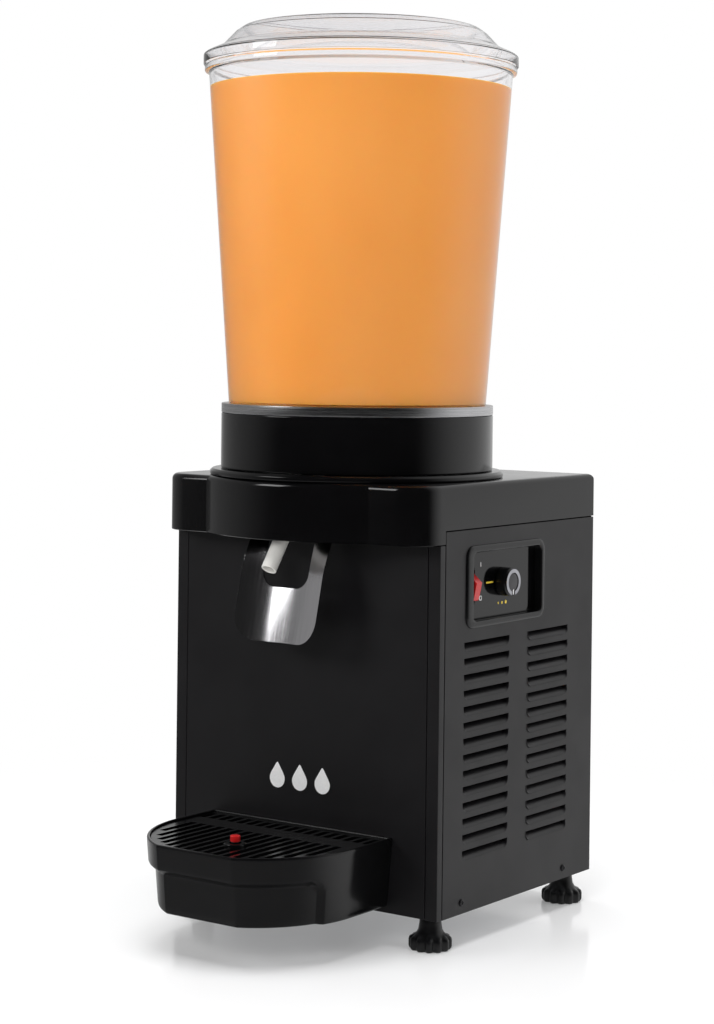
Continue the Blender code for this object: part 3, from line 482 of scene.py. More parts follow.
def finished(piece, slot, body, nodes=(), bevel=0.0, sharp=35.0):
    """Dresses a piece in its own slot's finish."""
    return dress(piece, finish[slot], body, nodes, bevel, sharp)


def build(name, mesh, slot, body, nodes=(), bevel=0.0, sharp=35.0, location=(0.0, 0.0, 0.0)):
    return finished(new_object(name, mesh, location), slot, body, nodes, bevel, sharp)


# ---- camera, floor and light ----
CAMERA_TURN = radians(35.826)   # how far round towards +X the camera stands
CAMERA_DISTANCE = 2.0335
CAMERA_HEIGHT = 0.5003
CAMERA_ROLL = 0.0114
FLOOR_RADIUS = 1.6
BACKLIGHT_TURN = radians(165)   # where the bright background is centred, behind and to the right
SIDELIGHT_TURN = radians(-95)   # where a weaker glow on the left is centred


def make_camera():
    data = bpy.data.cameras.new("camera")
    data.sensor_width = 36.0
    data.lens = 81.49
    data.shift_x = -0.0010
    data.shift_y = -0.1656
    camera = linked("camera", data)
    place = Vector((
        CAMERA_DISTANCE * sin(CAMERA_TURN),
        AXIS_Y - CAMERA_DISTANCE * cos(CAMERA_TURN),
        CAMERA_HEIGHT,
    ))
    turn = Matrix.Rotation(CAMERA_TURN, 4, "Z") @ Matrix.Rotation(pi / 2, 4, "X")
    camera.matrix_world = Matrix.Translation(place) @ turn @ Matrix.Rotation(CAMERA_ROLL, 4, "Z")
    bpy.context.scene.camera = camera


def whitened(tree, surface, white_share):
    """Pure white where the share is 1, and the surface itself where it is 0."""
    white = tree.nodes.new("ShaderNodeEmission")
    return blended(tree, white_share, surface, white.outputs["Emission"])


def seen_directly(tree, through=None):
    """1 for what is looked at, plainly or through the clear parts; 0 for light and reflections."""
    path = tree.nodes.new("ShaderNodeLightPath")
    refracted = path.outputs["Is Transmission Ray"]
    if through is not None:
        refracted = calculated(tree, "MULTIPLY", refracted, through)
    return calculated(tree, "MAXIMUM", path.outputs["Is Camera Ray"], refracted)


def make_floor():
    """Round pale floor with a soft sheen that runs out into the white background."""
    mesh = bmesh.new()
    bmesh.ops.create_circle(mesh, cap_ends=True, segments=96, radius=FLOOR_RADIUS)
    floor = linked("floor", mesh_data("floor", mesh))
    made, tree, shader = new_material("pale_floor")
    colour = tinted(tree, noise(tree, 3.0), (0.88, 0.88, 0.885), (0.90, 0.90, 0.905))
    tree.links.new(colour, shader.inputs["Base Color"])
    shader.inputs["Roughness"].default_value = 0.14
    shader.inputs["Specular IOR Level"].default_value = 0.75
    shader.inputs["Emission Color"].default_value = (1.0, 1.0, 1.0, 1.0)
    shader.inputs["Emission Strength"].default_value = 0.20
    place = tree.nodes.new("ShaderNodeTexCoord")
    reach = tree.nodes.new("ShaderNodeVectorMath")
    reach.operation = "LENGTH"
    tree.links.new(place.outputs["Object"], reach.inputs[0])
    fade = mapped(tree, reach.outputs["Value"], (0.30, 0.80), (0.0, 1.0), "SMOOTHSTEP")
    share = calculated(tree, "MULTIPLY", fade, seen_directly(tree))
    parts = tree.nodes.new("ShaderNodeSeparateXYZ")
    tree.links.new(place.outputs["Object"], parts.inputs["Vector"])
    ahead = mapped(tree, parts.outputs["Y"], (0.00, -0.20), (0.35, 0.80), "SMOOTHSTEP")
    path = tree.nodes.new("ShaderNodeLightPath")
    dimmed = calculated(tree, "MULTIPLY", ahead, path.outputs["Is Glossy Ray"])
    dark = tree.nodes.new("ShaderNodeBsdfDiffuse")
    dark.inputs["Color"].default_value = (0.0, 0.0, 0.0, 1.0)
    mirrored = blended(tree, dimmed, shader.outputs["BSDF"], dark.outputs["BSDF"])
    surface = whitened(tree, mirrored, share)
    tree.links.new(surface, tree.nodes["Material Output"].inputs["Surface"])
    floor.data.materials.append(made)


def make_world():
    """White to look at; it lights the machine from behind, less from the left, and little from the front."""
    world = bpy.data.worlds.new("studio")
    bpy.context.scene.world = world
    world.use_nodes = True
    tree = world.node_tree
    tree.nodes.clear()
    place = tree.nodes.new("ShaderNodeTexCoord")
    glows = []
    for turn, faint, full, strength in (
        (BACKLIGHT_TURN, 0.15, 0.90, 0.93),
        (SIDELIGHT_TURN, 0.40, 0.95, 0.32),
    ):
        facing = tree.nodes.new("ShaderNodeVectorMath")
        facing.operation = "DOT_PRODUCT"
        facing.inputs[1].default_value = (sin(turn), -cos(turn), 0.10)
        tree.links.new(place.outputs["Generated"], facing.inputs[0])
        glows.append(mapped(tree, facing.outputs["Value"], (faint, full), (0.01, strength), "SMOOTHSTEP"))
    light = tree.nodes.new("ShaderNodeBackground")
    tree.links.new(calculated(tree, "ADD", *glows), light.inputs["Strength"])
    output = tree.nodes.new("ShaderNodeOutputWorld")
    parts = tree.nodes.new("ShaderNodeSeparateXYZ")
    tree.links.new(place.outputs["Generated"], parts.inputs["Vector"])
    steep = calculated(tree, "ABSOLUTE", parts.outputs["Z"])
    level = mapped(tree, steep, (0.20, 0.55), (1.0, 0.0), "SMOOTHSTEP")
    lit = whitened(tree, light.outputs["Background"], seen_directly(tree, level))
    tree.links.new(lit, output.inputs["Surface"])


def make_softbox(name, turn, height, distance, size, power, glossy=True):
    """Soft rectangular lamp that stands at an angle round the machine and faces its middle."""
    data = bpy.data.lights.new(name, "AREA")
    data.shape = "RECTANGLE"
    data.size, data.size_y = size
    data.energy = power
    lamp = linked(name, data)
    place = Vector((distance * sin(turn), AXIS_Y - distance * cos(turn), height))
    direction = Vector((0.0, AXIS_Y, 0.40)) - place
    aim = direction.to_track_quat("-Z", "Y").to_matrix().to_4x4()
    lamp.matrix_world = Matrix.Translation(place) @ aim
    lamp.visible_glossy = glossy
    lamp.visible_camera = False
    lamp.visible_transmission = False


def make_studio():
    make_camera()
    make_floor()
    make_world()
    make_softbox("overhead", 0.0, 2.6, 0.05, (1.6, 1.6), 60.0, glossy=False)
    make_softbox("front_left", radians(-36), 1.30, 2.1, (0.8, 0.9), 10.5)
    make_softbox("fill", radians(14), 1.3, 2.6, (1.6, 1.2), 33.0, glossy=False)
    make_softbox("right", radians(120), 1.1, 2.2, (0.9, 1.4), 10.0, glossy=False)
    bpy.context.scene.view_settings.view_transform = "Standard"


# ---- casing ----
def louvre_scoop(u_range, v_range, depth, place, plane, inward):
    """Pressed-in louvre: flush along its bottom and sides, deepest along its open top edge."""
    centre = (u_range[0] + u_range[1]) / 2
    half = (u_range[1] - u_range[0]) / 2
    height = v_range[1] - v_range[0]
    corner = 0.75 * height
    edge = []
    steps = 6
    for side in (-1, 1):
        arc = []
        for i in range(steps + 1):
            t = pi / 2 * i / steps
            arc.append((side * (half - corner + corner * cos(t)), corner - corner * sin(t)))
        edge += [(side * half, height)] + arc if side < 0 else arc[::-1] + [(side * half, height)]
    rows = 7
    grid = []
    mesh = bmesh.new()
    for k in range(rows + 1):
        s = k / rows
        fall = depth * (1 - cos(pi / 2 * s)) ** 0.85
        line = []
        for u, v in edge:
            narrow = 1 - 0.10 * s * (corner / half)
            top = height - 0.0016
            point = (centre + u * narrow, v_range[0] + v + (top - v) * s)
            line.append(mesh.verts.new(place(point[0], point[1], plane + inward * fall)))
        grid.append(line)
    for a, b in zip(grid, grid[1:]):
        for i in range(len(a) - 1):
            mesh.faces.new((a[i], a[i + 1], b[i + 1], b[i]))
    outline = [(centre + u, v_range[0] + v) for u, v in edge]
    return mesh, outline


def make_louvred_sheet(name, node, u_range, v_range, plane, inward, place, louvres, holes):
    """Sheet panel with pressed louvres; holes are outlines cut right through."""
    thick = SHEET * inward
    sheet = new_object(name, prism(rectangle(*u_range, *v_range), plane, plane + thick, place))
    scoops, cutters = [], []
    for u_pair, v_pair in louvres:
        scoop, outline = louvre_scoop(u_pair, v_pair, LOUVRE_DEPTH, place, plane, inward)
        scoops.append(scoop)
        cutters.append(prism(outline, plane - 0.01, plane + 0.01, place))
    for outline in holes:
        cutters.append(prism(outline, plane - 0.01, plane + 0.01, place))
    combine(sheet, joined(cutters), "DIFFERENCE")
    finished(sheet, "casing", "casing", (node,), bevel=0.0004)
    pressed = new_object(name + "_scoops", joined(scoops))
    shell = pressed.modifiers.new("thickness", "SOLIDIFY")
    shell.thickness = 0.0010
    shell.offset = -1.0
    apply_modifiers(pressed)
    finished(pressed, "casing", "casing", (), sharp=60.0)


def make_panels():
    def pressed(rows, columns):
        return [(pair, (z, z + LOUVRE_HEIGHT)) for z in rows for pair in columns]

    def screw_holes(places):
        return [circle(SCREW_HOLE_RADIUS, 16, (u, SCREW_Z)) for u in places]

    columns = ((-0.0380, 0.0320), (0.0610, 0.1290))
    louvres = pressed([0.0715 + LOUVRE_PITCH * i for i in range(14)], columns)
    screws = screw_holes((-0.0385, 0.1250))
    window = rounded_rectangle((-0.0285, 0.0825), (0.2670, 0.3280), 0.0070)
    side = (SIDE_FRONT_Y + 0.0004, REAR_Y)
    height = (CASING_LOW, SIDE_TOP - 0.0007)
    for name, sign, holes in (("right", 1, screws + [window]), ("left", -1, screws)):
        make_louvred_sheet(
            f"{name}_side_panel", f"side_panel_{name}", side, height, HALF_WIDTH * sign, -sign, along_x,
            louvres, holes,
        )
    rear_low, rear_high = span("rear_panel")
    rear_columns = [(x - 0.0350, x + 0.0350) for x in (-0.0500, 0.0500)]
    rear_holes = screw_holes((-0.0900, 0.0900))
    rear_holes.append(circle(0.0073, 24, (-0.0900, 0.0620)))
    make_louvred_sheet(
        "back_panel", "rear_panel", (rear_low.x, rear_high.x), (rear_low.z, rear_high.z), REAR_Y, -1,
        along_y, pressed([0.1300 + LOUVRE_PITCH * i for i in range(12)], rear_columns), rear_holes,
    )
    front_low, front_high = span("front_panel")
    corners = rectangle(front_low.x, front_high.x, front_low.z, front_high.z)
    front = new_object("front_sheet", prism(corners, front_low.y, front_high.y, along_y))
    slot = rectangle(-0.0510, 0.0510, 0.0302, 0.0332)
    combine(front, prism(slot, front_low.y - 0.01, front_high.y + 0.01, along_y), "DIFFERENCE")
    finished(front, "casing", "casing", ("front_panel",), bevel=0.0003)
    for name, side_sign in (("left", -1), ("right", 1)):
        low, high = span("front_post_" + name)
        outer = HALF_WIDTH * side_sign
        inner = POST_INNER * side_sign
        wall = SHEET * side_sign
        section = [
            (inner, FRONT_Y),
            (outer, FRONT_Y),
            (outer, high.y),
            (outer - wall, high.y),
            (outer - wall, FRONT_Y + SHEET),
            (inner, FRONT_Y + SHEET),
        ]
        post = prism(section, low.z, high.z)
        build(f"corner_post_{name}", post, "casing", "casing", (f"front_post_{name}",), 0.0007)


def crown_outline(inset=0.0):
    """Plan of the crown: straight sides, round front corners, short flats and a bulged middle."""
    half = HALF_WIDTH - inset
    corner = CROWN_CORNER_R - inset
    centre_x = half - corner
    centre_y = CROWN_FLAT_Y + inset + corner
    rise = CROWN_FLAT_Y - CROWN_APEX_Y
    bulge = (CROWN_CREASE_X**2 + rise**2) / (2 * rise)
    spread = asin(CROWN_CREASE_X / bulge)
    right = [(half, REAR_Y - inset)]
    right += [
        (centre_x + corner * cos(t), centre_y - corner * sin(t))
        for t in (pi / 2 * i / 14 for i in range(15))
    ]
    arc = [spread * i / 22 for i in range(22, -1, -1)]
    right += [((bulge - inset) * sin(t), CROWN_APEX_Y + bulge - (bulge - inset) * cos(t)) for t in arc]
    left = [(-x, y) for x, y in right[-2::-1]]
    return right + left


def make_crown():
    """Glossy moulding on top of the casing, with its skirt, round well and soft upper edge."""
    wall = 0.0030
    levels = [
        (wall, CROWN_TOP - wall),
        (wall, CROWN_LOW + 0.0004),
        (wall - 0.0005, CROWN_LOW),
        (0.0005, CROWN_LOW),
        (0.0, CROWN_LOW + 0.0005),
    ]
    for i in range(9):
        t = pi / 2 * i / 8
        levels.append((CROWN_FILLET * (1 - cos(t)), CROWN_TOP - CROWN_FILLET * (1 - sin(t))))
    rings = [[(x, y, z) for x, y in crown_outline(inset)] for inset, z in levels]
    crown = new_object("crown_moulding", lofted(rings))
    combine(crown, prism(rectangle(-0.2, 0.2, -0.0674, 0.3), 0.3, SIDE_TOP + GAP), "DIFFERENCE")
    combine(crown, prism(circle(WELL_RADIUS, FINE), 0.36, 0.40), "DIFFERENCE")
    finished(crown, "crown_gloss", "casing", ("crown",), sharp=28.0)


def make_screws():
    """Pan heads with a cross recess."""
    def head(node, axis, sign):
        low, high = span(node)
        centre = (low + high) / 2
        radius = 0.0030
        top = 0.0015
        profile = [(0.0, -0.0030), (0.0019, -0.0030), (0.0019, GAP), (radius, GAP)]
        brim = GAP + 0.0004
        profile += [(radius * cos(t), brim + (top - brim) * sin(t)) for t in (0.0, 0.5, 0.9, 1.25)]
        profile += [(0.0, top)]
        place = centre.copy()
        place["XYZ".index(axis)] = HALF_WIDTH * sign if axis == "X" else REAR_Y
        made = new_object(node + "_head", turned([(r, sign * h) for r, h in profile], 32, axis), place)
        bar = 0.0005
        for u, v in ((0.0016, bar), (bar, 0.0016)):
            way = along_x if axis == "X" else along_y
            recess = prism(rectangle(-u, u, -v, v), sign * 0.0008, sign * 0.0030, way)
            combine(made, recess, "DIFFERENCE", place)
        finished(made, "iron", "casing", (node,))

    for label, sign in (("left", -1), ("right", 1)):
        head(f"screw_{label}_front", "X", sign)
        head(f"screw_{label}_rear", "X", sign)
        head(f"screw_back_{label}", "Y", 1)


def make_feet():
    """Levelling feet: scalloped base, hollow-sided neck and threaded stud."""
    lobes, steps = 12, 144

    def ring(radius, z, depth):
        turn = [2 * pi * i / steps for i in range(steps)]
        reach = [radius - depth * abs(sin(lobes * t / 2)) ** 3 for t in turn]
        return [(r * cos(t), r * sin(t), z) for r, t in zip(reach, turn)]

    for name in ("foot_front_left", "foot_front_right", "foot_rear_left", "foot_rear_right"):
        low, high = span(name)
        centre = (low + high) / 2
        scallop = 0.0026
        rings = [
            ring(0.0150, 0.0, scallop * 0.8),
            ring(0.0166, 0.0003, scallop),
            ring(0.0176, 0.0014, scallop),
            ring(0.0180, 0.0030, scallop),
            ring(0.0180, 0.0080, scallop),
            ring(0.0175, 0.0098, scallop),
            ring(0.0165, 0.0108, scallop * 0.8),
            ring(0.0140, 0.0118, 0.0004),
            ring(0.0116, 0.0136, 0.0),
            ring(0.0100, 0.0165, 0.0),
            ring(0.0092, 0.0215, 0.0),
            ring(0.0088, 0.0270, 0.0),
            ring(0.0083, 0.0277, 0.0),
            ring(0.0040, 0.0277, 0.0),
            ring(0.0040, 0.0420, 0.0),
        ]
        place = (centre.x, centre.y, 0.0)
        build(name + "_levelling", lofted(rings), "rubber", name, (name,), location=place, sharp=40.0)


# ---- column, bowl, lid and drink ----
def make_column():
    flange_low = CROWN_TOP + GAP
    flange = [
        (0.1130, flange_low),
        (0.1283, flange_low),
        (0.1283, 0.3878),
        (0.1262, 0.3898),
        (0.1130, 0.3900),
    ]
    seal = new_object("column_flange", turned(eased(flange, 0.0012)))
    dress(seal, finish["crown_gloss"], "casing", ("collar_flange",), sharp=50.0)
    inner = DRUM_RADIUS - 0.0040
    drum = [
        (0.1060, DRUM_LOW),
        (DRUM_RADIUS, DRUM_LOW),
        (DRUM_RADIUS, DRUM_TOP),
        (inner, DRUM_TOP),
        (inner, DRUM_LOW + 0.0030),
        (0.1060, DRUM_LOW + 0.0030),
    ]
    build("column_drum", turned(eased(drum, 0.0009)), "crown_gloss", "casing", ("collar_drum",), sharp=50.0)
    rim = DRUM_RADIUS
    dish = [
        (rim, BAND_TOP),
        (0.0835, BAND_TOP),
        (0.0800, 0.4560),
        (0.0400, 0.4590),
        (0.0, 0.4595),
        (0.0, 0.4575),
        (0.0400, 0.4570),
        (0.0783, 0.4542),
        (0.0818, BAND_TOP - 0.0020),
        (rim - 0.0020, BAND_TOP - 0.0020),
        (rim - 0.0020, DRUM_TOP + GAP),
        (rim, DRUM_TOP + GAP),
    ]
    band = new_object("steel_dish", turned(eased(dish, 0.0007)))
    combine(band, prism(circle(0.0053, 24, (0.0, -0.0910)), 0.43, 0.46), "DIFFERENCE")
    finished(band, "stainless", "casing", ("evaporator_dish",), sharp=50.0)


def bowl_radius(z):
    """Outer radius of the bowl's wall at a height."""
    share = (z - BOWL_LOW) / (BOWL_BEND_Z - BOWL_LOW)
    return BOWL_LOW_RADIUS + (BOWL_TOP_RADIUS - BOWL_LOW_RADIUS) * share


def make_bowl_lid_and_drink():
    lip = 0.1040
    floor = BOWL_LOW + 0.0014
    bowl = [
        (lip, BOWL_LOW),
        (BOWL_LOW_RADIUS, BOWL_LOW),
        (BOWL_TOP_RADIUS, BOWL_BEND_Z),
        (BOWL_RIM_RADIUS, 0.7360),
        (BOWL_RIM_RADIUS, 0.7402),
        (0.1350, BOWL_TOP),
        (BOWL_TOP_RADIUS - BOWL_WALL, BOWL_TOP),
        (bowl_radius(floor) - BOWL_WALL, floor),
        (lip, floor),
    ]
    build("clear_bowl", turned(eased(bowl, 0.0012)), "clear", "bowl", ("bowl",), sharp=60.0)
    lid = [
        (0.0, MACHINE_TOP - 0.0002),
        (0.1005, MACHINE_TOP),
        (0.1040, MACHINE_TOP - 0.0006),
        (0.1105, 0.7700),
        (0.1212, 0.7588),
        (0.1246, 0.7566),
        (0.1362, 0.7514),
        (LID_RADIUS, 0.7500),
        (LID_RADIUS, LID_LOW),
        (LID_RADIUS - 0.0011, LID_LOW),
        (LID_RADIUS - 0.0012, 0.7491),
        (0.1356, 0.7502),
        (0.1240, 0.7554),
        (0.1202, 0.7578),
        (0.1094, 0.7690),
        (0.1034, MACHINE_TOP - 0.0020),
        (0.1003, MACHINE_TOP - 0.0013),
        (0.0, MACHINE_TOP - 0.0014),
    ]
    build("clear_lid", turned(eased(lid, 0.0014)), "clear", "lid", ("lid",), sharp=60.0)
    wet = 0.0002
    hollow = 0.0800
    drink = [
        (0.0, DRINK_TOP),
        (bowl_radius(DRINK_TOP) - BOWL_WALL - 0.0012, DRINK_TOP),
        (bowl_radius(DRINK_TOP) - BOWL_WALL + wet, DRINK_TOP + 0.0010),
        (bowl_radius(floor) - BOWL_WALL + wet, floor - wet),
        (lip, floor - wet),
        (hollow + 0.0060, floor + 0.0004),
        (hollow, 0.4600),
        (hollow, 0.4960),
        (0.0, 0.4980),
    ]
    contents = new_object("drink", turned(eased(drink, 0.0008)))
    dress(contents, drink_look, "bowl", sharp=50.0)


# ---- dispensing lever and tube ----
def swept_pipe(corners, bend, radius, bore, steps=32):
    """Pipe with an open bore along a path whose corners are rounded."""
    points = [Vector(c) for c in corners]
    path = [points[0]]
    for before, corner, after in zip(points, points[1:], points[2:]):
        into = (corner - before).normalized()
        out = (after - corner).normalized()
        turn = into.angle(out)
        start = corner - into * bend * tan(turn / 2)
        inward = (out - into * out.dot(into)).normalized()
        centre = start + inward * bend
        for i in range(13):
            t = turn * i / 12
            path.append(centre - inward * bend * cos(t) + into * bend * sin(t))
    path.append(points[-1])
    rings = {"outer": [], "inner": []}
    across = Vector((1.0, 0.0, 0.0))
    for i, point in enumerate(path):
        ahead = (path[min(i + 1, len(path) - 1)] - path[max(i - 1, 0)]).normalized()
        up = ahead.cross(across)
        around = [across * u + up * v for u, v in circle(1.0, steps)]
        rings["outer"].append([point + radius * d for d in around])
        rings["inner"].append([point + bore * d for d in around])
    loop = rings["outer"] + rings["inner"][::-1]
    return lofted(loop + loop[:1], caps=False)


def make_tube():
    corners = [(0.0, -0.0910, 0.3920), (0.0, -0.0910, 0.3560), (0.0, -0.1235, 0.3100)]
    pipe = swept_pipe(corners, 0.0300, 0.0066, 0.0052)
    bmesh.ops.remove_doubles(pipe, verts=pipe.verts, dist=0.000001)
    build("silicone_spout", pipe, "silicone", "casing", ("dispensing_tube",), bevel=0.0003, sharp=50.0)


def make_lever():
    """Dished stainless tongue, open between its two arms, with rolled barrels and a pinch bar."""
    pivot_y, pivot_z = -0.0815, 0.3570
    half, bottom = 0.0430, 0.2480
    plan_radius = 0.1100
    thickness = 0.0015
    columns, rows = 40, 36

    def middle_y(z):
        return pivot_y - 0.0032 - 0.240 * max(0.0, 0.3520 - z)

    def dish(x, z):
        share = min(1.0, max(0.0, (0.3500 - z) / 0.0450))
        share = share * share * (3 - 2 * share)
        return share * (plan_radius - (plan_radius**2 - x * x) ** 0.5)

    def edge(x):
        corner = 0.0220
        inside = max(0.0, abs(x) - (half - corner))
        return bottom + corner - (corner**2 - min(inside, corner) ** 2) ** 0.5

    xs = [half * sin(pi / 2 * (2 * i / columns - 1)) for i in range(columns + 1)]
    mesh = bmesh.new()
    sheets = []
    for offset in (0.0, -thickness):
        grid = []
        for x in xs:
            low = edge(x)
            heights = [low + (pivot_z + 0.0009 - low) * j / rows for j in range(rows + 1)]
            grid.append([mesh.verts.new((x, middle_y(z) - dish(x, z) + offset, z)) for z in heights])
        sheets.append(grid)
    back, front = sheets
    for i in range(columns):
        for j in range(rows):
            for grid in sheets:
                mesh.faces.new((grid[i][j], grid[i + 1][j], grid[i + 1][j + 1], grid[i][j + 1]))
        for j in (0, rows):
            mesh.faces.new((back[i][j], back[i + 1][j], front[i + 1][j], front[i][j]))
    for i in (0, columns):
        for j in range(rows):
            mesh.faces.new((back[i][j], back[i][j + 1], front[i][j + 1], front[i][j]))
    bmesh.ops.triangulate(mesh, faces=mesh.faces)
    lever = new_object("push_lever", mesh)
    window = rounded_rectangle((-0.0240, 0.0240), (0.2930, 0.4200), 0.0130, 16)
    combine(lever, prism(window, -0.15, -0.05, along_y), "DIFFERENCE")
    for side in (-1, 1):
        ends = sorted((side * 0.0245, side * 0.0425))
        combine(lever, prism(circle(0.0042, 32, (pivot_y, pivot_z)), ends[0], ends[1], along_x), "UNION")
        ends = sorted((side * 0.0252, side * 0.0281))
        arm = [
            (pivot_y + 0.0030, pivot_z + 0.0010),
            (pivot_y - 0.0030, pivot_z - 0.0040),
            (-0.1025, 0.3675),
            (-0.1025, 0.3730),
            (-0.0985, 0.3730),
        ]
        combine(lever, prism(arm, ends[0], ends[1], along_x), "UNION")
    combine(lever, prism(circle(0.0019, 20, (-0.1000, 0.3705)), -0.0267, 0.0267, along_x), "UNION")
    combine(lever, prism(circle(0.0028, 32, (pivot_y, pivot_z)), -0.05, 0.05, along_x), "DIFFERENCE")
    finished(lever, "polished", "lever", ("lever",), bevel=0.00035, sharp=40.0)


# ---- drip tray ----
GRIP_START = 0.28            # share of the tray's corner where the recessed grip begins
GRIP_SHOULDER = 0.0712       # height where the grip's shoulder starts
GRIP_DEPTH = 0.0054
GRIP_CORNER = 0.0150
GRIP_SLOPE = 0.0062


def smooth(value):
    value = min(1.0, max(0.0, value))
    return value * value * (3 - 2 * value)


def grip_inset(share, z):
    """How far the tray's wall is pressed in: a round-cornered field below the front's shoulder."""
    reach = (share - GRIP_START) * 0.105
    below = GRIP_SHOULDER - z
    if reach < GRIP_CORNER and below < GRIP_CORNER:
        distance = GRIP_CORNER - hypot(GRIP_CORNER - reach, GRIP_CORNER - below)
    else:
        distance = min(reach, below)
    return GRIP_DEPTH * smooth(distance / GRIP_SLOPE)


def tray_outline(inset=0.0, rear_inset=0.0, gripped_at=None, steps=56):
    """Plan of the tray: straight sides, elliptical corners and a flat front that meets them at an angle.

    Below the rim, gripped_at is the height whose grip is pressed into the front.
    """
    right = [(TRAY_HALF_WIDTH - inset, TRAY_REAR_Y - rear_inset)]
    for i in range(steps + 1):
        pressed = inset
        if gripped_at is not None:
            pressed += grip_inset(i / steps, gripped_at)
        along = TRAY_CURVE - pressed
        t = asin((TRAY_STRAIGHT_Y - TRAY_FRONT_Y - pressed) / along) * i / steps
        right.append(((TRAY_HALF_WIDTH - pressed) * cos(t), TRAY_STRAIGHT_Y - along * sin(t)))
    return right + [(-x, y) for x, y in reversed(right)]


def make_drip_tray():
    draft = 0.0045
    turn_in = 0.0030
    rings = []
    for i in range(6):
        t = pi / 2 * i / 5
        z = TRAY_LOW + turn_in * (1 - cos(t))
        inset = draft + turn_in * (1 - sin(t))
        rings.append([(x, y, z) for x, y in tray_outline(inset, gripped_at=z)])
    levels = 44
    low, high = TRAY_LOW + turn_in, TRAY_TOP - 0.0012
    for i in range(1, levels + 1):
        z = low + (high - low) * i / levels
        inset = draft * max(0.0, (0.0880 - z) / (0.0880 - TRAY_LOW))
        rings.append([(x, y, z) for x, y in tray_outline(inset, gripped_at=z)])
    lip = (
        (0.0002, 0.0001, TRAY_TOP - 0.0006),
        (0.0006, 0.0003, TRAY_TOP - 0.0002),
        (0.0012, 0.0006, TRAY_TOP),
        (0.0018, 0.0018, TRAY_TOP),
        (0.0025, 0.0025, TRAY_TOP - 0.0003),
        (0.0029, 0.0029, TRAY_TOP - 0.0009),
        (0.0030, 0.0030, 0.0850),
        (0.0095, 0.0050, 0.0845),
        (0.0098, 0.0052, 0.0800),
        (0.0115, 0.0055, 0.0400),
        (0.0150, 0.0090, TRAY_LOW + 0.0030),
    )
    for inset, rear, z in lip:
        rings.append([(x, y, z) for x, y in tray_outline(inset, rear)])
    build("tray_body", lofted(rings), "black_plastic", "drip_tray", ("drip_tray",), sharp=24.0)


def make_grille():
    outline = tray_outline(0.0034, 0.0034)
    grille = new_object("grille", prism(outline, GRILLE_LOW, GRILLE_TOP))
    cutters = []
    half_slot = 0.0033
    inner = TRAY_HALF_WIDTH - 0.0085
    for i in range(-9, 9):
        x = SLOT_PITCH * (i + 0.5)
        reaches = [(-0.1025, -0.0835)]
        if abs(x) < inner - half_slot:
            curve = TRAY_STRAIGHT_Y - (TRAY_CURVE - 0.0085) * (1 - (x / inner) ** 2) ** 0.5
            reaches.append((max(curve, TRAY_FRONT_Y + 0.0065) + 0.0020, -0.1240))
        for y_range in reaches:
            slot = rounded_rectangle((x - half_slot, x + half_slot), y_range, 0.0010, 3)
            cutters.append(prism(slot, 0.08, 0.10))
    combine(grille, joined(cutters), "DIFFERENCE")
    float_low, float_high = span("float_indicator")
    centre = (float_low + float_high) / 2
    place = (centre.x, centre.y)
    boss = eased([(0.0, GRILLE_LOW), (0.0095, GRILLE_LOW), (0.0095, BOSS_TOP), (0.0, BOSS_TOP)], 0.0012)
    combine(grille, turned(boss, 48), "UNION", (*place, 0.0))
    combine(grille, prism(circle(0.0052, 32, place), 0.08, 0.10), "DIFFERENCE")
    finished(grille, "black_plastic", "grille", ("tray_grille",), bevel=0.0005)
    place = (centre.x, centre.y, 0.0)
    cap_low = FLOAT_TOP - 0.0052
    stem = [
        (0.0, 0.0364),
        (0.0110, 0.0364),
        (0.0110, 0.0500),
        (0.0034, 0.0540),
        (0.0034, cap_low),
        (0.0, cap_low),
    ]
    shaft = new_object("level_float", turned(eased(stem, 0.0007), 48), place)
    finished(shaft, "black_plastic", "tray_float", ("float_indicator",))
    cap = [(0.0, cap_low), (0.0042, cap_low), (0.0042, FLOAT_TOP), (0.0, FLOAT_TOP)]
    build("level_cap", turned(eased(cap, 0.0009), 48), "red_plastic", "tray_float", location=place)


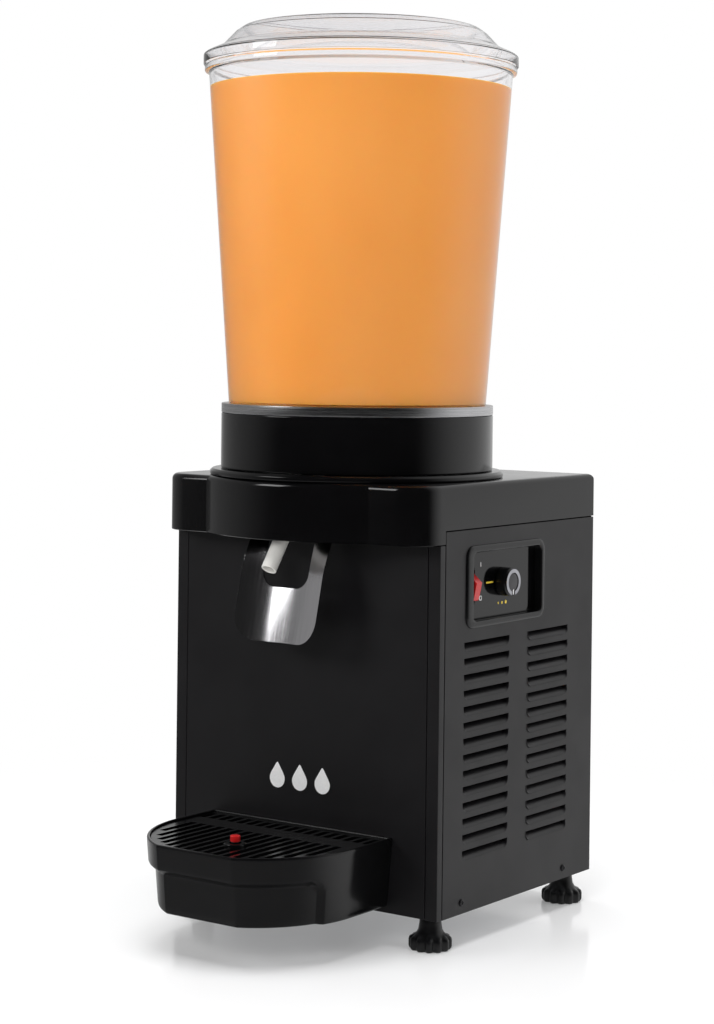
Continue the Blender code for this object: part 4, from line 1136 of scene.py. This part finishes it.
# ---- controls ----
def make_bezel():
    """Raised frame with a soft outer roll and a stepped recess."""
    def level(y_range, z_range, inset, radius, x):
        ys = (y_range[0] + inset, y_range[1] - inset)
        zs = (z_range[0] + inset, z_range[1] - inset)
        return [(x, y, z) for y, z in rounded_rectangle(ys, zs, radius - inset, 10)]

    wall = 0.0015
    seat = HALF_WIDTH + GAP
    rings = [
        level(RECESS_Y, RECESS_Z, -wall, 0.0045, 0.1300),
        level(RECESS_Y, RECESS_Z, -wall, 0.0045, seat),
        level(PANEL_Y, PANEL_Z, 0.0, 0.0100, seat),
    ]
    rise = PANEL_FACE_X - seat
    for i in range(1, 7):
        t = pi / 2 * i / 6
        rings.append(level(PANEL_Y, PANEL_Z, 0.0034 * (1 - cos(t)), 0.0100, seat + rise * sin(t)))
    for i in range(5):
        t = pi / 2 * i / 4
        x = PANEL_FACE_X - 0.0016 * (1 - cos(t))
        rings.append(level(RECESS_Y, RECESS_Z, -0.0016 * (1 - sin(t)), 0.0045, x))
    rings.append(level(RECESS_Y, RECESS_Z, 0.0, 0.0045, 0.1320))
    bezel = new_object("control_frame", lofted(rings))
    plate = rounded_rectangle(
        (RECESS_Y[0] + GAP, RECESS_Y[1] - GAP), (RECESS_Z[0] + GAP, RECESS_Z[1] - GAP), 0.0042
    )
    fascia = new_object("control_face", prism(plate, 0.1323, FASCIA_X, along_x))
    switch_low, switch_high = span("switch_body")
    hole = rounded_rectangle(
        (switch_low.y - GAP, switch_high.y + GAP), (switch_low.z - GAP, switch_high.z + GAP), 0.0006, 3
    )
    for piece in (bezel, fascia):
        combine(piece, prism(hole, 0.12, 0.1395, along_x), "DIFFERENCE")
        combine(piece, prism(circle(0.0050, 32, KNOB_CENTRE), 0.12, 0.14, along_x), "DIFFERENCE")
    finished(bezel, "black_plastic", "casing", ("control_bezel",), sharp=42.0)
    finished(fascia, "fascia", "casing", ("control_fascia",), bevel=0.0002)


def make_knob():
    place = (0.0, *KNOB_CENTRE)
    radius = (span("knob")[1].z - span("knob")[0].z) / 2
    face = span("knob")[1].x
    shaft = 0.0031
    knob = [
        (0.0, face),
        (radius - 0.0016, face),
        (radius - 0.0002, face - 0.0012),
        (radius, FASCIA_X + 0.0030),
        (radius, FASCIA_X + 0.0005),
        (shaft, FASCIA_X + 0.0005),
        (shaft, 0.1433),
        (0.0, 0.1433),
    ]
    grip = new_object("knob_grip", turned(eased(knob, 0.0006), 96, "X"), place)
    flutes = []
    for i in range(36):
        t = 2 * pi * i / 36
        centre = ((radius + 0.00035) * cos(t), (radius + 0.00035) * sin(t))
        flutes.append(prism(circle(0.00055, 8, centre), FASCIA_X + 0.0015, face - 0.0018, along_x))
    combine(grip, joined(flutes), "DIFFERENCE", place)
    finished(grip, "black_plastic", "knob", ("knob",), sharp=40.0)
    ring_low, ring_high = span("knob_ring")
    opening, steps = radians(26), 72
    inner, outer = 0.0080, 0.0112
    rings = []
    for i in range(steps + 1):
        t = -pi / 2 + opening / 2 + (2 * pi - opening) * i / steps
        section = ((inner, ring_low.x), (outer, ring_low.x), (outer, ring_high.x), (inner, ring_high.x))
        rings.append([(x, r * cos(t), r * sin(t)) for r, x in section])
    build("knob_trim", lofted(rings), "silver", "knob", ("knob_ring",), bevel=0.00012, location=place)
    disc = [(0.0, face + 0.0001), (0.0074, face + 0.0001), (0.0074, face + 0.0005), (0.0, face + 0.0006)]
    dress(new_object("knob_insert", turned(eased(disc, 0.0002), 64, "X"), place), grey_insert, "knob")
    pointer = rounded_rectangle((-0.0005, 0.0005), (-0.0106, -0.0060), 0.0004, 3)
    mark = new_object("knob_pointer", prism(pointer, face + 0.0006, face + 0.0009, along_x), place)
    dress(mark, white_ink, "knob")


def make_rocker():
    """Two-slope rocker with rounded edges."""
    low, high = span("switch_rocker")
    centre_y = (low.y + high.y) / 2
    upper = [(0.0108, 0.0016), (0.0042, 0.0128), (0.0030, 0.0132), (-0.0010, 0.0128), (-0.0040, 0.0040)]
    section = [(0.0118, 0.0)] + upper + [(x, -z) for x, z in reversed(upper)]
    half = 0.0042
    rings = [[(x, y, z) for x, z in eased(section, 0.0009, 5)] for y in (-half, half)]
    rocker = new_object("rocker", lofted(rings), (0.1312, centre_y, 0.2970))
    rocker.rotation_euler = (0.0, -radians(18), 0.0)
    finished(rocker, "red_plastic", "rocker", ("switch_rocker",), bevel=0.0004)


def drop_outline(centre, size):
    """Plain drop: a round bottom that runs up to a point."""
    outline = []
    for i in range(48):
        t = 2 * pi * i / 48
        pull = max(0.0, sin(t)) ** 3
        across = size * cos(t) * (1 - 0.55 * pull)
        outline.append((centre[0] + across, centre[1] + size * (sin(t) + 0.75 * pull)))
    return outline


def make_prints():
    """Generic marks only: on and off symbols, the dial's dash and dots, and three drops on the front."""
    thick = 0.00012
    mark_y = -0.0060
    bar = rounded_rectangle((mark_y - 0.0004, mark_y + 0.0004), (0.3126, 0.3166), 0.0003, 3)
    on_mark = prism(bar, FASCIA_X, FASCIA_X + thick, along_x)
    front = FASCIA_X + thick
    section = ((FASCIA_X, 0.0021), (FASCIA_X, 0.0014), (front, 0.0014), (front, 0.0021))
    rings = []
    for i in range(33):
        t = 2 * pi * i / 32
        rings.append([(x, mark_y + r * cos(t), 0.2864 + r * sin(t)) for x, r in section])
    ring = lofted(rings, caps=False)
    bmesh.ops.remove_doubles(ring, verts=ring.verts, dist=0.00001)
    dress(new_object("switch_marks", joined([on_mark, ring])), white_ink, "casing")
    dash = rounded_rectangle((0.0026, 0.0136), (0.2979, 0.2993), 0.0004, 3)
    marks = [prism(dash, FASCIA_X, FASCIA_X + thick, along_x)]
    for i in range(3):
        spot = circle(0.0010 + 0.0003 * i, 20, (0.0220 + 0.0060 * i, 0.2800))
        marks.append(prism(spot, FASCIA_X, FASCIA_X + thick, along_x))
    dress(new_object("dial_marks", joined(marks)), yellow_ink, "casing")
    drops = []
    for i in range(3):
        outline = drop_outline((-0.0260 + 0.0240 * i, 0.1260), 0.0080)
        drops.append(prism(outline, FRONT_Y - thick, FRONT_Y, along_y))
    dress(new_object("front_pictogram", joined(drops)), white_ink, "casing")


# ---- everything the CAD model already shapes well ----
def dress_cad_nodes():
    """Procedural finish for each CAD node that stays, by the record's slot."""
    for subpart in frame["record"]["subparts"]:
        node = frame["nodes"][subpart["node"]]
        if node.hide_render:
            continue
        node.data.materials.clear()
        node.data.materials.append(finish[subpart["material_slot"]])


make_studio()
make_panels()
make_crown()
make_screws()
make_feet()
make_column()
make_bowl_lid_and_drink()
make_tube()
make_lever()
make_drip_tray()
make_grille()
make_bezel()
make_knob()
make_rocker()
make_prints()
dress_cad_nodes()
